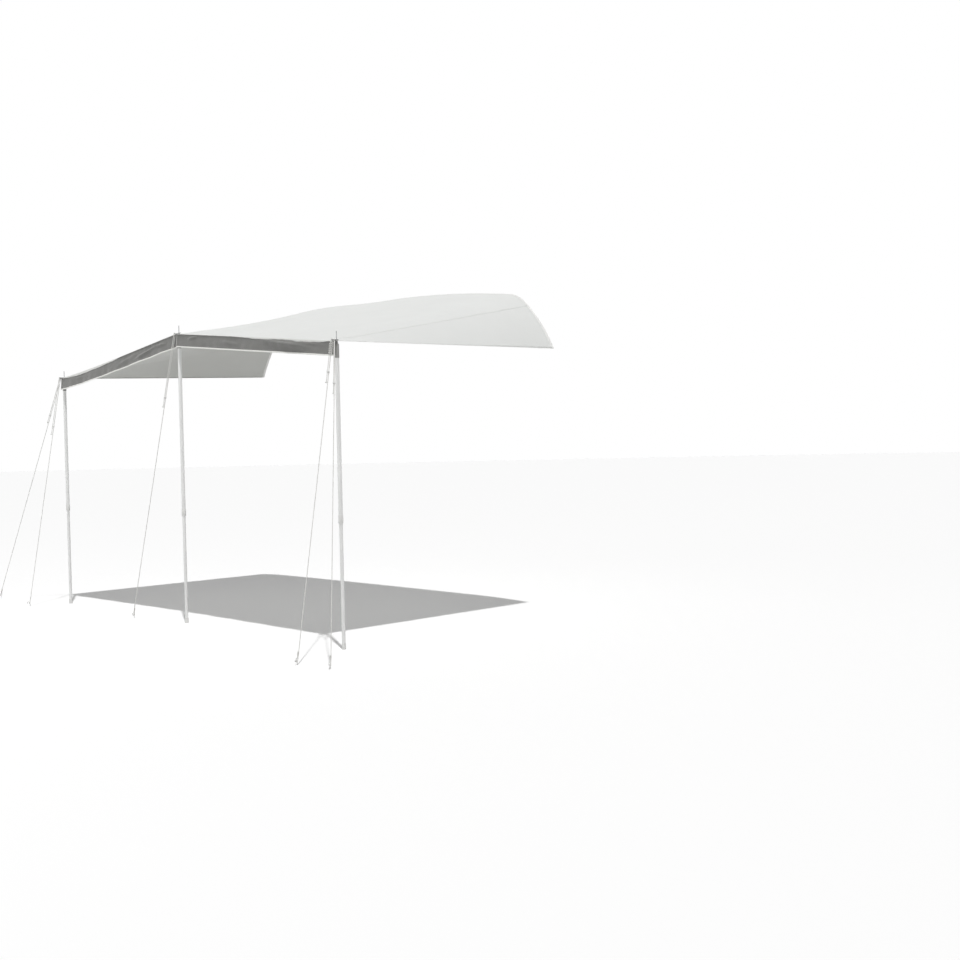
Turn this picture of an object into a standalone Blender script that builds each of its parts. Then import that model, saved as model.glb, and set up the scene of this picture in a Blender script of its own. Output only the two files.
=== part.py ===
"""Caravan sun canopy: a fabric roof that slides into a caravan's awning rail and stands on three poles.

X runs along the awning rail, the front with its poles is at -Y and Z is up. The origin is the middle
of the awning rail, on the line of the keder bead that the rail holds. All lengths are in metres.
"""
import math
from collections import namedtuple

import bmesh
import bpy
from mathutils import Matrix, Vector

# The place the canopy is set up in
RAIL_HEIGHT = 2.62
DEPTH = 2.10
POLE_SPACING = 1.95
LEFT_HEIGHT = 1.988
CENTRE_HEIGHT = 2.215
RIGHT_HEIGHT = 2.012

# The awning rail from its middle outwards: three arcs and the slope in degrees at which each ends
CROWN_RADIUS = 10.8
CROWN_SLOPE = 8.0
SHOULDER_RADIUS = 0.28
SHOULDER_SLOPE = 41.0
FLANK_RADIUS = 1.25
FLANK_SLOPE = 64.0

# Space left where pieces slide on, seat on or are sewn to each other
GAP = 0.0003

# Guy lines
ROPE_RADIUS = 0.0025
TAIL_LENGTH = 0.070
EYE_LENGTH = 0.036
SPLICE_LENGTH = 0.024

# Spare rope wound round both strands of one guy line, below its lug
SPARE_START = 0.016
SPARE_PITCH = 0.0125
SPARE_TURNS = 7
SPARE_STEPS = 24

# Pole tubes: the lower one slides in the upper one
UPPER_RADIUS = 0.014
UPPER_WALL = 0.0015
TUBE_PLAY = 0.0005
LOWER_RADIUS = UPPER_RADIUS - UPPER_WALL - TUBE_PLAY
LOWER_WALL = 0.0012
OVERLAP = 0.42

# Spike on the pole: through the eyelet and the plate, with a base trapped in the tube
SPIKE_RADIUS = 0.003
SPIKE_ABOVE = 0.060
SPIKE_TAPER = 0.008
SPIKE_POINT = 0.001
SPIKE_TIP_RADIUS = 0.0015
SPIKE_BASE = 0.003

# Eyelet in the roof cloth: the spike swings in it, and its rolled rim lifts the plate over the hem
SPIKE_PLAY = 0.003
EYELET_WALL = 0.001
EYELET_BRIM = 0.004
EYELET_SHEET = 0.0008
EYELET_RIM = 0.0024
EYELET_HOLE = SPIKE_RADIUS + SPIKE_PLAY
EYELET_BARREL = EYELET_HOLE + EYELET_WALL
EYELET_FLANGE = EYELET_BARREL + EYELET_BRIM

# Plate that lies on the eyelet and takes the guy lines
PLATE_THICKNESS = 0.003
PLATE_PLAY = 0.0032
PLATE_RIM = 0.0078
PLATE_HOLE = SPIKE_RADIUS + PLATE_PLAY
PLATE_RADIUS = PLATE_HOLE + PLATE_RIM
LUG_REACH = 0.033
LUG_PLAY = 0.002
LUG_RIM = 0.003
LUG_HOLE = ROPE_RADIUS + LUG_PLAY

# The rope's turn over a lug, half as wide as its two strands are apart
TURN_PLAY = 0.0008
TURN_SINK = 0.002
TURN_RADIUS = (LUG_HOLE + LUG_RIM + ROPE_RADIUS + TURN_PLAY) / 2

# Roof cloth
ROOF_THICKNESS = 0.0015
FRONT_INSET = 0.020
SIDE_INSET = 0.014
SEAM_TOE = 0.070
SEAM_PAST_SHOULDER = 0.061
CENTRE_FLAT = PLATE_RADIUS
ROOF_ROWS = 7
CROWN_STEPS = 8
BEND_STEPS = 6
WING_STEPS = 8
HEM_WIDTH = 0.010
HEM_THICKNESS = 0.0025

# How much thicker the sloping cloth measures straight down than square to its face
CLOTH_LEAN = 1.1

# Keder along the rail
BEAD_RADIUS = 0.0035
KEDER_DEPTH = 0.018
FLANGE_THICKNESS = 0.001

# Valance with its piping: it leans out over the pole heads, and its folds stand out further
VALANCE_HEIGHT = 0.094
VALANCE_THICKNESS = 0.001
VALANCE_SPLIT = 0.008
VALANCE_LEAN = 0.008
FOLD_DEPTH = 0.009
FOLD_COUNT = 5
FOLD_STEPS = 6
PIPING_RADIUS = 0.0025

# Reinforcement patch at each pole
PATCH_REACH = 0.055
PATCH_START = 0.008
PATCH_THICKNESS = 0.001

# Pole head: a ball under the eyelet, a shoulder and a socket for the upper tube
BALL_SEAT = 0.003
BALL_RADIUS = EYELET_HOLE + BALL_SEAT
BALL_SKIRT = 0.004
HEAD_SHOULDER = 0.010
HEAD_NECK = 0.045
HEAD_GRIP = 0.055
HEAD_WALL = 0.0012
HEAD_RADIUS = UPPER_RADIUS + GAP + HEAD_WALL

# Clamp collar on the upper tube's end, with the boss and the screw that hold the lower tube; the screw
# points to the back, turned that many degrees to the left
COLLAR_HEIGHT = 0.85
COLLAR_WALL = 0.0018
COLLAR_RADIUS = UPPER_RADIUS + GAP + COLLAR_WALL
COLLAR_SOCKET = 0.028
COLLAR_TAPER = 0.004
COLLAR_MOUTH = 0.0008
COLLAR_EDGE = 0.001
SCREW_RADIUS = 0.003
BOSS_WALL = 0.0047
BOSS_RADIUS = SCREW_RADIUS + GAP + BOSS_WALL
BOSS_LENGTH = 0.006
BOSS_MARGIN = 0.005
SCREW_TURN = 59.0
KNOB_RADIUS = 0.010
KNOB_THICKNESS = 0.009
KNOB_LOBES = 5
KNOB_LOBE = 0.0013
KNOB_EDGE = 0.002

# Foot cap
FOOT_WALL = 0.0018
FOOT_FLARE = 0.0012
FOOT_RADIUS = LOWER_RADIUS + GAP + FOOT_WALL + FOOT_FLARE
FOOT_SOLE = 0.006
FOOT_SLOPE = 0.005
FOOT_HEIGHT = 0.040
FOOT_SOLE_EDGE = 0.0015
FOOT_LIP_EDGE = 0.001

# Runners and pegs
RUNNER_LENGTH = 0.014
RUNNER_WALL = 0.0022
RUNNER_EDGE = 0.0008
PEG_RADIUS = 0.003
PEG_LENGTH = 0.19
PEG_POINT = 0.018
PEG_TIP_RADIUS = 0.0006
PEG_LEAN = 20.0
PEG_NECK = 0.022
PEG_RISE = 0.012
HOOK_RADIUS = 0.009
HOOK_DROP = 0.006
EYE_RADIUS = PEG_RADIUS + ROPE_RADIUS + GAP

# Sides of the round pieces
TUBE_SIDES = 20
EYELET_SIDES = 16
SPIKE_SIDES = 12
STRAND_HOLE_SIDES = 12
LUG_HOLE_SIDES = 14
TURN_STEPS = 6

# How far a cutter runs past what it cuts, and how close points are before they are one
CUT_PAST = 0.010
MERGE = 0.00001

# Each guy line: its pole, where its peg stands beside the foot, the way its lug points in degrees
# and how far below the plate its runner sits
Guy = namedtuple("Guy", "pole peg lug runner")
GUYS = {
    "left_side": Guy("left", (-0.995, -0.207), -150.0, 0.36),
    "left_front": Guy("left", (-0.131, -0.314), -100.0, 0.43),
    "centre": Guy("centre", (-0.600, -0.120), -90.0, 0.50),
    "right_front": Guy("right", (0.229, -0.540), -93.0, 0.22),
    "right_side": Guy("right", (0.496, -0.493), -58.0, 0.30),
}
POLES = {"left": -1, "centre": 0, "right": 1}

FRONT_Y = -DEPTH - FRONT_INSET
REAR_Y = -KEDER_DEPTH
GROUND_Z = -RAIL_HEIGHT
UP = Vector((0, 0, 1))

for old in list(bpy.data.objects):
    bpy.data.objects.remove(old)


# Materials and objects

def material(name, colour, roughness, metallic=0.0):
    made = bpy.data.materials.new(name)
    made.use_nodes = True
    shader = made.node_tree.nodes["Principled BSDF"]
    shader.inputs["Base Color"].default_value = (*colour, 1)
    shader.inputs["Roughness"].default_value = roughness
    shader.inputs["Metallic"].default_value = metallic
    return made


ROOF_CLOTH = material("roof_cloth", (0.76, 0.78, 0.77), 0.75)
VALANCE_CLOTH = material("valance_cloth", (0.19, 0.19, 0.18), 0.80)
PIPING_CLOTH = material("piping_cloth", (0.78, 0.78, 0.73), 0.70)
WEBBING = material("webbing", (0.55, 0.55, 0.52), 0.85)
KEDER = material("keder_plastic", (0.80, 0.80, 0.78), 0.50)
BLACK_PLASTIC = material("black_plastic", (0.03, 0.03, 0.03), 0.55)
GREY_PLASTIC = material("grey_plastic", (0.22, 0.22, 0.21), 0.50)
WHITE_PLASTIC = material("white_plastic", (0.68, 0.68, 0.66), 0.45)
RUBBER = material("foot_rubber", (0.60, 0.60, 0.58), 0.80)
TUBE_PAINT = material("tube_paint", (0.68, 0.69, 0.69), 0.40, 0.3)
STEEL = material("bright_steel", (0.60, 0.60, 0.60), 0.35, 1.0)
ROPE = material("rope", (0.66, 0.66, 0.64), 0.90)


def place(name, data, finish, parent=None, matrix=None):
    """Put a mesh or a curve in the scene as one named sub-part."""
    made = bpy.data.objects.new(name, data)
    bpy.context.scene.collection.objects.link(made)
    data.materials.append(finish)
    if matrix is not None:
        made.matrix_local = matrix
    if parent is not None:
        made.parent = parent
    return made


def pivot(name, position, parent=None, rotation=None):
    """An empty that carries the pieces of one moving section."""
    made = bpy.data.objects.new(name, None)
    bpy.context.scene.collection.objects.link(made)
    turn = rotation.to_4x4() if rotation is not None else Matrix()
    made.matrix_local = Matrix.Translation(position) @ turn
    made.parent = parent
    return made


def mesh_from(bm, name):
    bmesh.ops.recalc_face_normals(bm, faces=bm.faces)
    made = bpy.data.meshes.new(name)
    bm.to_mesh(made)
    bm.free()
    made.shade_smooth()
    made.set_sharp_from_angle(angle=math.radians(35))
    return made


def revolved(name, profile, sides):
    """Turn a closed outline of radius and height about Z."""
    bm = bmesh.new()
    points = [bm.verts.new((radius, 0, height)) for radius, height in profile]
    lines = [bm.edges.new(pair) for pair in zip(points, points[1:] + points[:1])
             if pair[0].co.x + pair[1].co.x > 0]
    bmesh.ops.spin(bm, geom=points + lines, axis=UP, cent=(0, 0, 0), dvec=(0, 0, 0),
                   angle=math.tau, steps=sides, use_merge=True)
    bmesh.ops.remove_doubles(bm, verts=bm.verts, dist=MERGE)
    return mesh_from(bm, name)


def lofted(name, rings):
    """Join rings of as many points each, and close both ends."""
    bm = bmesh.new()
    loops = [[bm.verts.new(point) for point in ring] for ring in rings]
    for lower, upper in zip(loops, loops[1:]):
        for corners in zip(lower, lower[1:] + lower[:1], upper[1:] + upper[:1], upper):
            bm.faces.new(corners)
    bm.faces.new(loops[0])
    bm.faces.new(loops[-1])
    return mesh_from(bm, name)


def gridded(name, rows):
    """A sheet of four-sided faces through rows of points."""
    bm = bmesh.new()
    made = [[bm.verts.new(point) for point in row] for row in rows]
    for near, far in zip(made, made[1:]):
        for a, b, c, d in zip(near, near[1:], far[1:], far):
            bm.faces.new((a, b, c, d))
    data = bpy.data.meshes.new(name)
    bm.to_mesh(data)
    bm.free()
    data.shade_smooth()
    return data


def thicken(sheet, thickness, side):
    """Give a sheet its thickness, on the back of its faces for -1 and about them for 0."""
    made = sheet.modifiers.new("thickness", "SOLIDIFY")
    made.thickness = thickness
    made.offset = side


def cut(piece, cutter, operation="DIFFERENCE"):
    """Cut a piece with a hidden cutter, or join the hidden shape to it."""
    cutter.hide_render = True
    cutter.display_type = "WIRE"
    made = piece.modifiers.new(operation.lower(), "BOOLEAN")
    made.operation = operation
    made.solver = "EXACT"
    made.object = cutter


def tube(name, points, radius, finish, resolution=2, point=1.0):
    """A round cord, bead or bent rod along a row of points; point narrows its first end."""
    curve = bpy.data.curves.new(name, "CURVE")
    curve.dimensions = "3D"
    curve.bevel_depth = radius
    curve.bevel_resolution = resolution
    curve.use_fill_caps = True
    line = curve.splines.new("POLY")
    line.points.add(len(points) - 1)
    for spot, place_on_line in zip(line.points, points):
        spot.co = (*place_on_line, 1)
    line.points[0].radius = point
    return place(name, curve, finish)


def rod(name, radius, start, end, parent=None, sides=TUBE_SIDES):
    """A round bar between two points, for cutting holes and joining bosses."""
    start, end = Vector(start), Vector(end)
    length = (end - start).length
    profile = ((0, 0), (radius, 0), (radius, length), (0, length))
    turn = (end - start).to_track_quat("Z", "Y").to_matrix().to_4x4()
    matrix = Matrix.Translation(start) @ turn
    return place(name, revolved(name, profile, sides), GREY_PLASTIC, parent, matrix)


# The roof's shape: straight lines of cloth from the front edge back to the rail

RAIL_ARCS = [(radius, math.radians(slope)) for radius, slope in (
    (CROWN_RADIUS, CROWN_SLOPE), (SHOULDER_RADIUS, SHOULDER_SLOPE), (FLANK_RADIUS, FLANK_SLOPE))]


def arc_lengths():
    slopes = [0.0] + [slope for _, slope in RAIL_ARCS]
    return [radius * (end - start) for (radius, _), start, end in zip(RAIL_ARCS, slopes, slopes[1:])]


CROWN_LENGTH, SHOULDER_LENGTH, FLANK_LENGTH = arc_lengths()
RAIL_HALF = CROWN_LENGTH + SHOULDER_LENGTH + FLANK_LENGTH
SEAM_ON_RAIL = CROWN_LENGTH + SHOULDER_LENGTH + SEAM_PAST_SHOULDER


def rail_point(distance):
    """Where the rail is, as x and z, at a distance along it from its middle."""
    left = abs(distance)
    x = z = slope = 0.0
    for radius, end in RAIL_ARCS:
        turn = min(left / radius, end - slope)
        x += radius * (math.sin(slope + turn) - math.sin(slope))
        z -= radius * (math.cos(slope) - math.cos(slope + turn))
        left -= turn * radius
        slope += turn
    return math.copysign(x, distance), z


def rail_stops():
    """Distances along half the rail, closer together where it bends."""
    arcs = ((CROWN_LENGTH, CROWN_STEPS), (SHOULDER_LENGTH, BEND_STEPS), (FLANK_LENGTH, BEND_STEPS))
    stops = [0.0]
    for length, steps in arcs:
        start = stops[-1]
        stops += [start + length * (step + 1) / steps for step in range(steps)]
    return stops


def front_height(x):
    """Height of the roof's front edge: level over the centre pole, then straight to the corners."""
    corner = LEFT_HEIGHT if x < 0 else RIGHT_HEIGHT
    fall = (CENTRE_HEIGHT - corner) / (POLE_SPACING - CENTRE_FLAT)
    return GROUND_Z + CENTRE_HEIGHT - fall * max(abs(x) - CENTRE_FLAT, 0)


def cloth_line(across):
    """Ends of one line of cloth: 0 is the middle, 1 the seam and 2 the side edge."""
    main = min(abs(across), 1)
    wing = max(abs(across) - 1, 0)
    front = main * (POLE_SPACING - SEAM_TOE) + wing * (SEAM_TOE + SIDE_INSET)
    back = main * SEAM_ON_RAIL + wing * (RAIL_HALF - SEAM_ON_RAIL)
    front = math.copysign(front, across)
    rail_x, rail_z = rail_point(math.copysign(back, across))
    return Vector((front, FRONT_Y, front_height(front))), Vector((rail_x, REAR_Y, rail_z))


def roof_point(across, back):
    start, end = cloth_line(across)
    return start.lerp(end, back)


def roof_height(x, y):
    """Height of the roof's upper face over a point, by halving the lines of cloth beside it."""
    back = (y - FRONT_Y) / (REAR_Y - FRONT_Y)
    low, high = -2.0, 2.0
    halvings = 40
    for _ in range(halvings):
        middle = (low + high) / 2
        if roof_point(middle, back).x < x:
            low = middle
        else:
            high = middle
    return roof_point(low, back).z


def roof_normal(x, y):
    step = 0.004
    rise_x = (roof_height(x + step, y) - roof_height(x - step, y)) / (2 * step)
    rise_y = (roof_height(x, y + step) - roof_height(x, y - step)) / (2 * step)
    return Vector((-rise_x, -rise_y, 1)).normalized()


def patch_rows():
    """Stops from the front edge back that the corner patches share with the roof."""
    length = REAR_Y - FRONT_Y
    start, end = PATCH_START / length, (FRONT_INSET + PATCH_REACH) / length
    return [start, (start + end) / 2, end]


def roof_rows():
    end = patch_rows()[-1]
    return [0] + patch_rows() + [end + (1 - end) * (row + 1) / ROOF_ROWS for row in range(ROOF_ROWS)]


def wing_stops(sign):
    """Lines of cloth across a side panel, from left to right."""
    start = GAP / 2 / SEAM_TOE
    return sorted(sign * (1 + start + (1 - start) * step / WING_STEPS) for step in range(WING_STEPS + 1))


def centre_stops():
    """Lines of cloth on either side of the ridge that the centre patch shares with the roof."""
    half = [reach / (POLE_SPACING - SEAM_TOE) for reach in (CENTRE_FLAT, PATCH_REACH)]
    return [-half[1], -half[0], half[0], half[1]]


def roof_sheet(name, stops):
    rows = [[roof_point(across, back) for across in stops] for back in roof_rows()]
    sheet = place(name, gridded(name, rows), ROOF_CLOTH)
    thicken(sheet, ROOF_THICKNESS, -1)
    return sheet


def build_roof():
    """The wide panel and the two panels that fall to the rail's low ends."""
    nearest = 0.01
    outer = [stop / SEAM_ON_RAIL for stop in rail_stops()[1:] if stop < SEAM_ON_RAIL - nearest]
    outer.append(1 - GAP / 2 / SEAM_ON_RAIL)
    panel = roof_sheet("roof_panel", [-stop for stop in reversed(outer)] + centre_stops() + outer)
    left = roof_sheet("side_panel_left", wing_stops(-1))
    right = roof_sheet("side_panel_right", wing_stops(1))
    return {"left": left, "centre": panel, "right": right}


def build_hems():
    """Folded binding along each free side edge."""
    for side, sign in (("left", -1), ("right", 1)):
        front, back = cloth_line(2 * sign)
        just_inside, _ = cloth_line(1.9 * sign)
        normal = (back - front).cross(front - just_inside).normalized()
        normal *= math.copysign(1, normal.z)
        out = (back - front).cross(normal).normalized()
        out *= math.copysign(1, sign * out.x)
        rings = []
        for end in (front, back):
            centre = end - normal * ROOF_THICKNESS / 2
            rings.append([
                centre + out * (GAP + reach * HEM_WIDTH) + normal * lift * HEM_THICKNESS / 2
                for reach, lift in ((0, -1), (1, -1), (1, 1), (0, 1))])
        place("side_hem_" + side, lofted("side_hem_" + side, rings), PIPING_CLOTH)


def build_keder():
    """The flange sewn to the roof and the bead that the rail grips."""
    half = rail_stops()
    stops = [-stop for stop in reversed(half[1:])] + half
    path = [rail_point(stop) for stop in stops]
    rows = [[(x, y, z) for x, z in path] for y in (REAR_Y + GAP, -BEAD_RADIUS - GAP)]
    flange = place("keder_flange", gridded("keder_flange", rows), WEBBING)
    thicken(flange, FLANGE_THICKNESS, -1)
    tube("keder_bead", [Vector((x, 0, z)) for x, z in path], BEAD_RADIUS, KEDER)


# Valance

def valance_point(x, start, length, drop):
    """A point of the valance: it leans out and its folds open towards the lower edge."""
    fold = (1 - math.cos(math.tau * FOLD_COUNT * (x - start) / length)) / 2
    out = (VALANCE_LEAN + FOLD_DEPTH * fold) * drop
    top = front_height(x) - ROOF_THICKNESS * CLOTH_LEAN - GAP
    return Vector((x, FRONT_Y + VALANCE_THICKNESS - out, top - drop * VALANCE_HEIGHT))


def build_valance():
    start = VALANCE_SPLIT / 2
    length = POLE_SPACING + SIDE_INSET - start
    columns = FOLD_COUNT * FOLD_STEPS
    below = UP * (PIPING_RADIUS + GAP)
    for side, sign in (("left", -1), ("right", 1)):
        xs = [sign * (start + length * column / columns) for column in range(columns + 1)]
        rows = [[valance_point(x, sign * start, length, drop) for x in xs] for drop in (0, 0.5, 1)]
        cloth = place("valance_" + side, gridded("valance_" + side, rows), VALANCE_CLOTH)
        thicken(cloth, VALANCE_THICKNESS, 0)
        tube("valance_piping_" + side, [point - below for point in rows[-1]], PIPING_RADIUS, PIPING_CLOTH)


# Fittings where a pole meets the roof

STACK = ROOF_THICKNESS + GAP + PATCH_THICKNESS
EYELET_TOP = GAP + EYELET_RIM
EYELET_BOTTOM = -STACK - 2 * GAP - EYELET_SHEET


def fitting_frame(centre, normal):
    """Axes of a flat fitting that lies on the roof: Z is the roof's normal and X stays level."""
    across = normal.cross(Vector((1, 0, 0))).normalized()
    level = across.cross(normal).normalized()
    turn = Matrix((level, across, normal)).transposed().to_4x4()
    return Matrix.Translation(centre) @ turn


def seat(side):
    """The eyelet's frame, the plate's frame and the ball centre of one pole."""
    x, y = POLES[side] * POLE_SPACING, -DEPTH
    normal = roof_normal(x, y)
    surface = Vector((x, y, roof_height(x, y)))
    plate = surface + UP * (EYELET_TOP + GAP + PLATE_THICKNESS / 2) / normal.z
    ring = surface + UP * EYELET_BOTTOM / normal.z
    eyelet = ring - normal * EYELET_BOTTOM
    tilt = math.sqrt(1 - normal.z ** 2)
    reach = BALL_RADIUS + GAP
    drop = EYELET_HOLE * tilt + math.sqrt(reach ** 2 - (EYELET_HOLE * normal.z) ** 2)
    return fitting_frame(eyelet, normal), fitting_frame(plate, normal), ring - UP * drop


def build_eyelet(side, panels):
    """Patch under the roof and the eyelet through both."""
    frame, _, _ = seat(side)
    stops = {"left": wing_stops(-1)[:-1], "centre": centre_stops(), "right": wing_stops(1)[1:]}[side]
    below = UP * (ROOF_THICKNESS * CLOTH_LEAN + GAP)
    rows = [[roof_point(across, back) - below for across in stops] for back in patch_rows()]
    patch = place("corner_patch_" + side, gridded("corner_patch_" + side, rows), WEBBING)
    thicken(patch, PATCH_THICKNESS, -1)
    past = UP * CUT_PAST
    hole = rod("eyelet_hole_" + side, EYELET_BARREL + GAP, frame @ -past, frame @ past)
    cut(patch, hole)
    cut(panels[side], hole)
    half_rim = EYELET_RIM / 2
    profile = (
        (EYELET_HOLE, EYELET_TOP - half_rim), (EYELET_HOLE + half_rim, EYELET_TOP),
        (EYELET_FLANGE - half_rim, EYELET_TOP), (EYELET_FLANGE, EYELET_TOP - half_rim),
        (EYELET_FLANGE, GAP),
        (EYELET_BARREL, GAP), (EYELET_BARREL, EYELET_BOTTOM + EYELET_SHEET),
        (EYELET_FLANGE, EYELET_BOTTOM + EYELET_SHEET), (EYELET_FLANGE, EYELET_BOTTOM),
        (EYELET_HOLE, EYELET_BOTTOM))
    place("eyelet_" + side, revolved("eyelet_" + side, profile, EYELET_SIDES), STEEL, matrix=frame)


def lug_outline(way, height):
    """A tongue from inside the plate's rim to a round end about the lug's hole."""
    across = way.cross(UP)
    radius = LUG_HOLE + LUG_RIM
    root = way * (PLATE_HOLE + PLATE_RADIUS) / 2
    points = [root - across * radius]
    end_steps = 8
    for step in range(end_steps + 1):
        turn = math.pi * (step / end_steps - 0.5)
        points.append(way * (LUG_REACH + radius * math.cos(turn)) + across * radius * math.sin(turn))
    points.append(root + across * radius)
    return [point + UP * height for point in points]


def lug_centre(side, angle):
    """Centre of a lug's hole and the way the lug points."""
    _, frame, _ = seat(side)
    turn = math.radians(angle)
    way = frame.to_3x3() @ Vector((math.cos(turn), math.sin(turn), 0))
    return frame.translation + way * LUG_REACH, way


def build_plate(side):
    """A flat plate with a hole for the spike and a lug for each guy line."""
    _, frame, _ = seat(side)
    name = "guy_plate_" + side
    half = PLATE_THICKNESS / 2
    profile = ((PLATE_HOLE, -half), (PLATE_RADIUS, -half), (PLATE_RADIUS, half), (PLATE_HOLE, half))
    plate = place(name, revolved(name, profile, TUBE_SIDES), BLACK_PLASTIC, matrix=frame)
    angles = [guy.lug for guy in GUYS.values() if guy.pole == side]
    for angle in angles:
        turn = math.radians(angle)
        way = Vector((math.cos(turn), math.sin(turn), 0))
        lug = lofted("lug", [lug_outline(way, -half), lug_outline(way, half)])
        cut(plate, place("lug", lug, BLACK_PLASTIC, matrix=frame), "UNION")
    past = frame.to_3x3() @ UP * CUT_PAST
    for angle in angles:
        hole, _ = lug_centre(side, angle)
        cut(plate, rod("lug_hole", LUG_HOLE, hole - past, hole + past, sides=LUG_HOLE_SIDES))


# Poles

def build_pole(side):
    """One telescopic pole, hung on its ball seat under the eyelet."""
    _, plate, ball = seat(side)
    ground = GROUND_Z - ball.z
    swing = pivot("pole_" + side, ball)
    build_head(side, swing)

    stop = -HEAD_NECK - GAP
    tip = plate.translation.z - ball.z + SPIKE_ABOVE
    bore = UPPER_RADIUS - UPPER_WALL
    base = bore - TUBE_PLAY
    spike = (
        (0, stop - SPIKE_BASE), (base, stop - SPIKE_BASE), (base, stop), (SPIKE_RADIUS, stop),
        (SPIKE_RADIUS, tip - SPIKE_TAPER), (SPIKE_TIP_RADIUS, tip - SPIKE_POINT), (0, tip))
    place("spike_" + side, revolved("spike_" + side, spike, SPIKE_SIDES), STEEL, swing)

    end = ground + COLLAR_HEIGHT
    start = stop - SPIKE_BASE - GAP
    upper = ((bore, end), (UPPER_RADIUS, end), (UPPER_RADIUS, start), (bore, start))
    place("upper_tube_" + side, revolved("upper_tube_" + side, upper, TUBE_SIDES), TUBE_PAINT, swing)
    build_collar(side, swing, end)

    slide = pivot("lower_pole_" + side, (0, 0, ground), swing)
    bore = LOWER_RADIUS - LOWER_WALL
    end = FOOT_SOLE + GAP
    start = COLLAR_HEIGHT + OVERLAP
    lower = ((bore, end), (LOWER_RADIUS, end), (LOWER_RADIUS, start), (bore, start))
    place("lower_tube_" + side, revolved("lower_tube_" + side, lower, TUBE_SIDES), TUBE_PAINT, slide)
    build_foot(side, slide)


def build_head(side, swing):
    """Moulded head: the ball that seats under the eyelet, and the socket on the upper tube."""
    bore = SPIKE_RADIUS + GAP
    rim = math.sqrt(BALL_RADIUS ** 2 - bore ** 2)
    dome_steps = 5
    dome = [(bore, rim)]
    for step in range(1, dome_steps):
        turn = math.atan2(rim, bore) * (1 - step / dome_steps)
        dome.append((BALL_RADIUS * math.cos(turn), BALL_RADIUS * math.sin(turn)))
    socket = UPPER_RADIUS + GAP
    mouth = -HEAD_NECK - HEAD_GRIP
    profile = dome + [
        (BALL_RADIUS, -BALL_SKIRT), (HEAD_RADIUS, -BALL_SKIRT - HEAD_SHOULDER), (HEAD_RADIUS, mouth),
        (socket, mouth), (socket, -HEAD_NECK), (bore, -HEAD_NECK)]
    place("pole_head_" + side, revolved("pole_head_" + side, profile, TUBE_SIDES), GREY_PLASTIC, swing)


def build_foot(side, slide):
    """Rubber cap on the lower tube, with a wider sole."""
    socket = LOWER_RADIUS + GAP
    neck = socket + FOOT_WALL
    profile = (
        (0, 0), (FOOT_RADIUS - FOOT_SOLE_EDGE, 0), (FOOT_RADIUS, FOOT_SOLE_EDGE),
        (FOOT_RADIUS, FOOT_SOLE), (neck, FOOT_SOLE + FOOT_SLOPE),
        (neck, FOOT_HEIGHT - FOOT_LIP_EDGE), (neck - FOOT_LIP_EDGE, FOOT_HEIGHT), (socket, FOOT_HEIGHT),
        (socket, FOOT_SOLE), (0, FOOT_SOLE))
    place("foot_cap_" + side, revolved("foot_cap_" + side, profile, TUBE_SIDES), RUBBER, slide)


def build_collar(side, swing, tube_end):
    """Collar on the end of the upper tube, with the screw that holds the lower tube."""
    lip = LOWER_RADIUS + GAP
    socket = UPPER_RADIUS + GAP
    top = tube_end + COLLAR_SOCKET
    shoulder = tube_end - GAP
    axis = shoulder - BOSS_MARGIN - BOSS_RADIUS
    bottom = axis - BOSS_RADIUS - BOSS_MARGIN
    profile = (
        (lip, bottom), (COLLAR_RADIUS - COLLAR_EDGE, bottom), (COLLAR_RADIUS, bottom + COLLAR_EDGE),
        (COLLAR_RADIUS, top - COLLAR_TAPER), (socket + COLLAR_MOUTH, top), (socket, top),
        (socket, shoulder), (lip, shoulder))
    name = "clamp_collar_" + side
    collar = place(name, revolved(name, profile, TUBE_SIDES), WHITE_PLASTIC, swing)
    boss_root = (lip + math.sqrt(COLLAR_RADIUS ** 2 - BOSS_RADIUS ** 2)) / 2
    boss_end = COLLAR_RADIUS + BOSS_LENGTH
    middle = UP * axis
    way = Matrix.Rotation(math.radians(SCREW_TURN), 3, "Z") @ Vector((0, 1, 0))
    cut(collar, rod("boss", BOSS_RADIUS, middle + way * boss_root, middle + way * boss_end, swing), "UNION")
    inside = middle + way * (boss_root - CUT_PAST)
    outside = middle + way * (boss_end + CUT_PAST)
    cut(collar, rod("screw_hole", SCREW_RADIUS + GAP, inside, outside, swing))
    turn = way.to_track_quat("Z", "Y").to_matrix()
    build_screw(side, pivot("screw_" + side, middle, swing, turn))


def build_screw(side, hub):
    """Thumb screw: a shank up to the lower tube and a lobed knob behind the boss."""
    start = COLLAR_RADIUS + BOSS_LENGTH + GAP
    end = start + KNOB_THICKNESS
    rings = []
    for height, radius, lobe in (
            (LOWER_RADIUS + GAP, SCREW_RADIUS, 0), (start, SCREW_RADIUS, 0),
            (start, KNOB_RADIUS, KNOB_LOBE), (end - KNOB_EDGE, KNOB_RADIUS, KNOB_LOBE),
            (end, KNOB_RADIUS - KNOB_EDGE, KNOB_LOBE)):
        ring = []
        steps = KNOB_LOBES * 5
        for step in range(steps):
            angle = math.tau * step / steps
            reach = radius + lobe * math.cos(KNOB_LOBES * angle)
            ring.append((reach * math.cos(angle), reach * math.sin(angle), height))
        rings.append(ring)
    place("thumb_screw_" + side, lofted("thumb_screw_" + side, rings), BLACK_PLASTIC, hub)


# Guy lines

Line = namedtuple("Line", "neck hole start climb out across stem hook")


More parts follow.
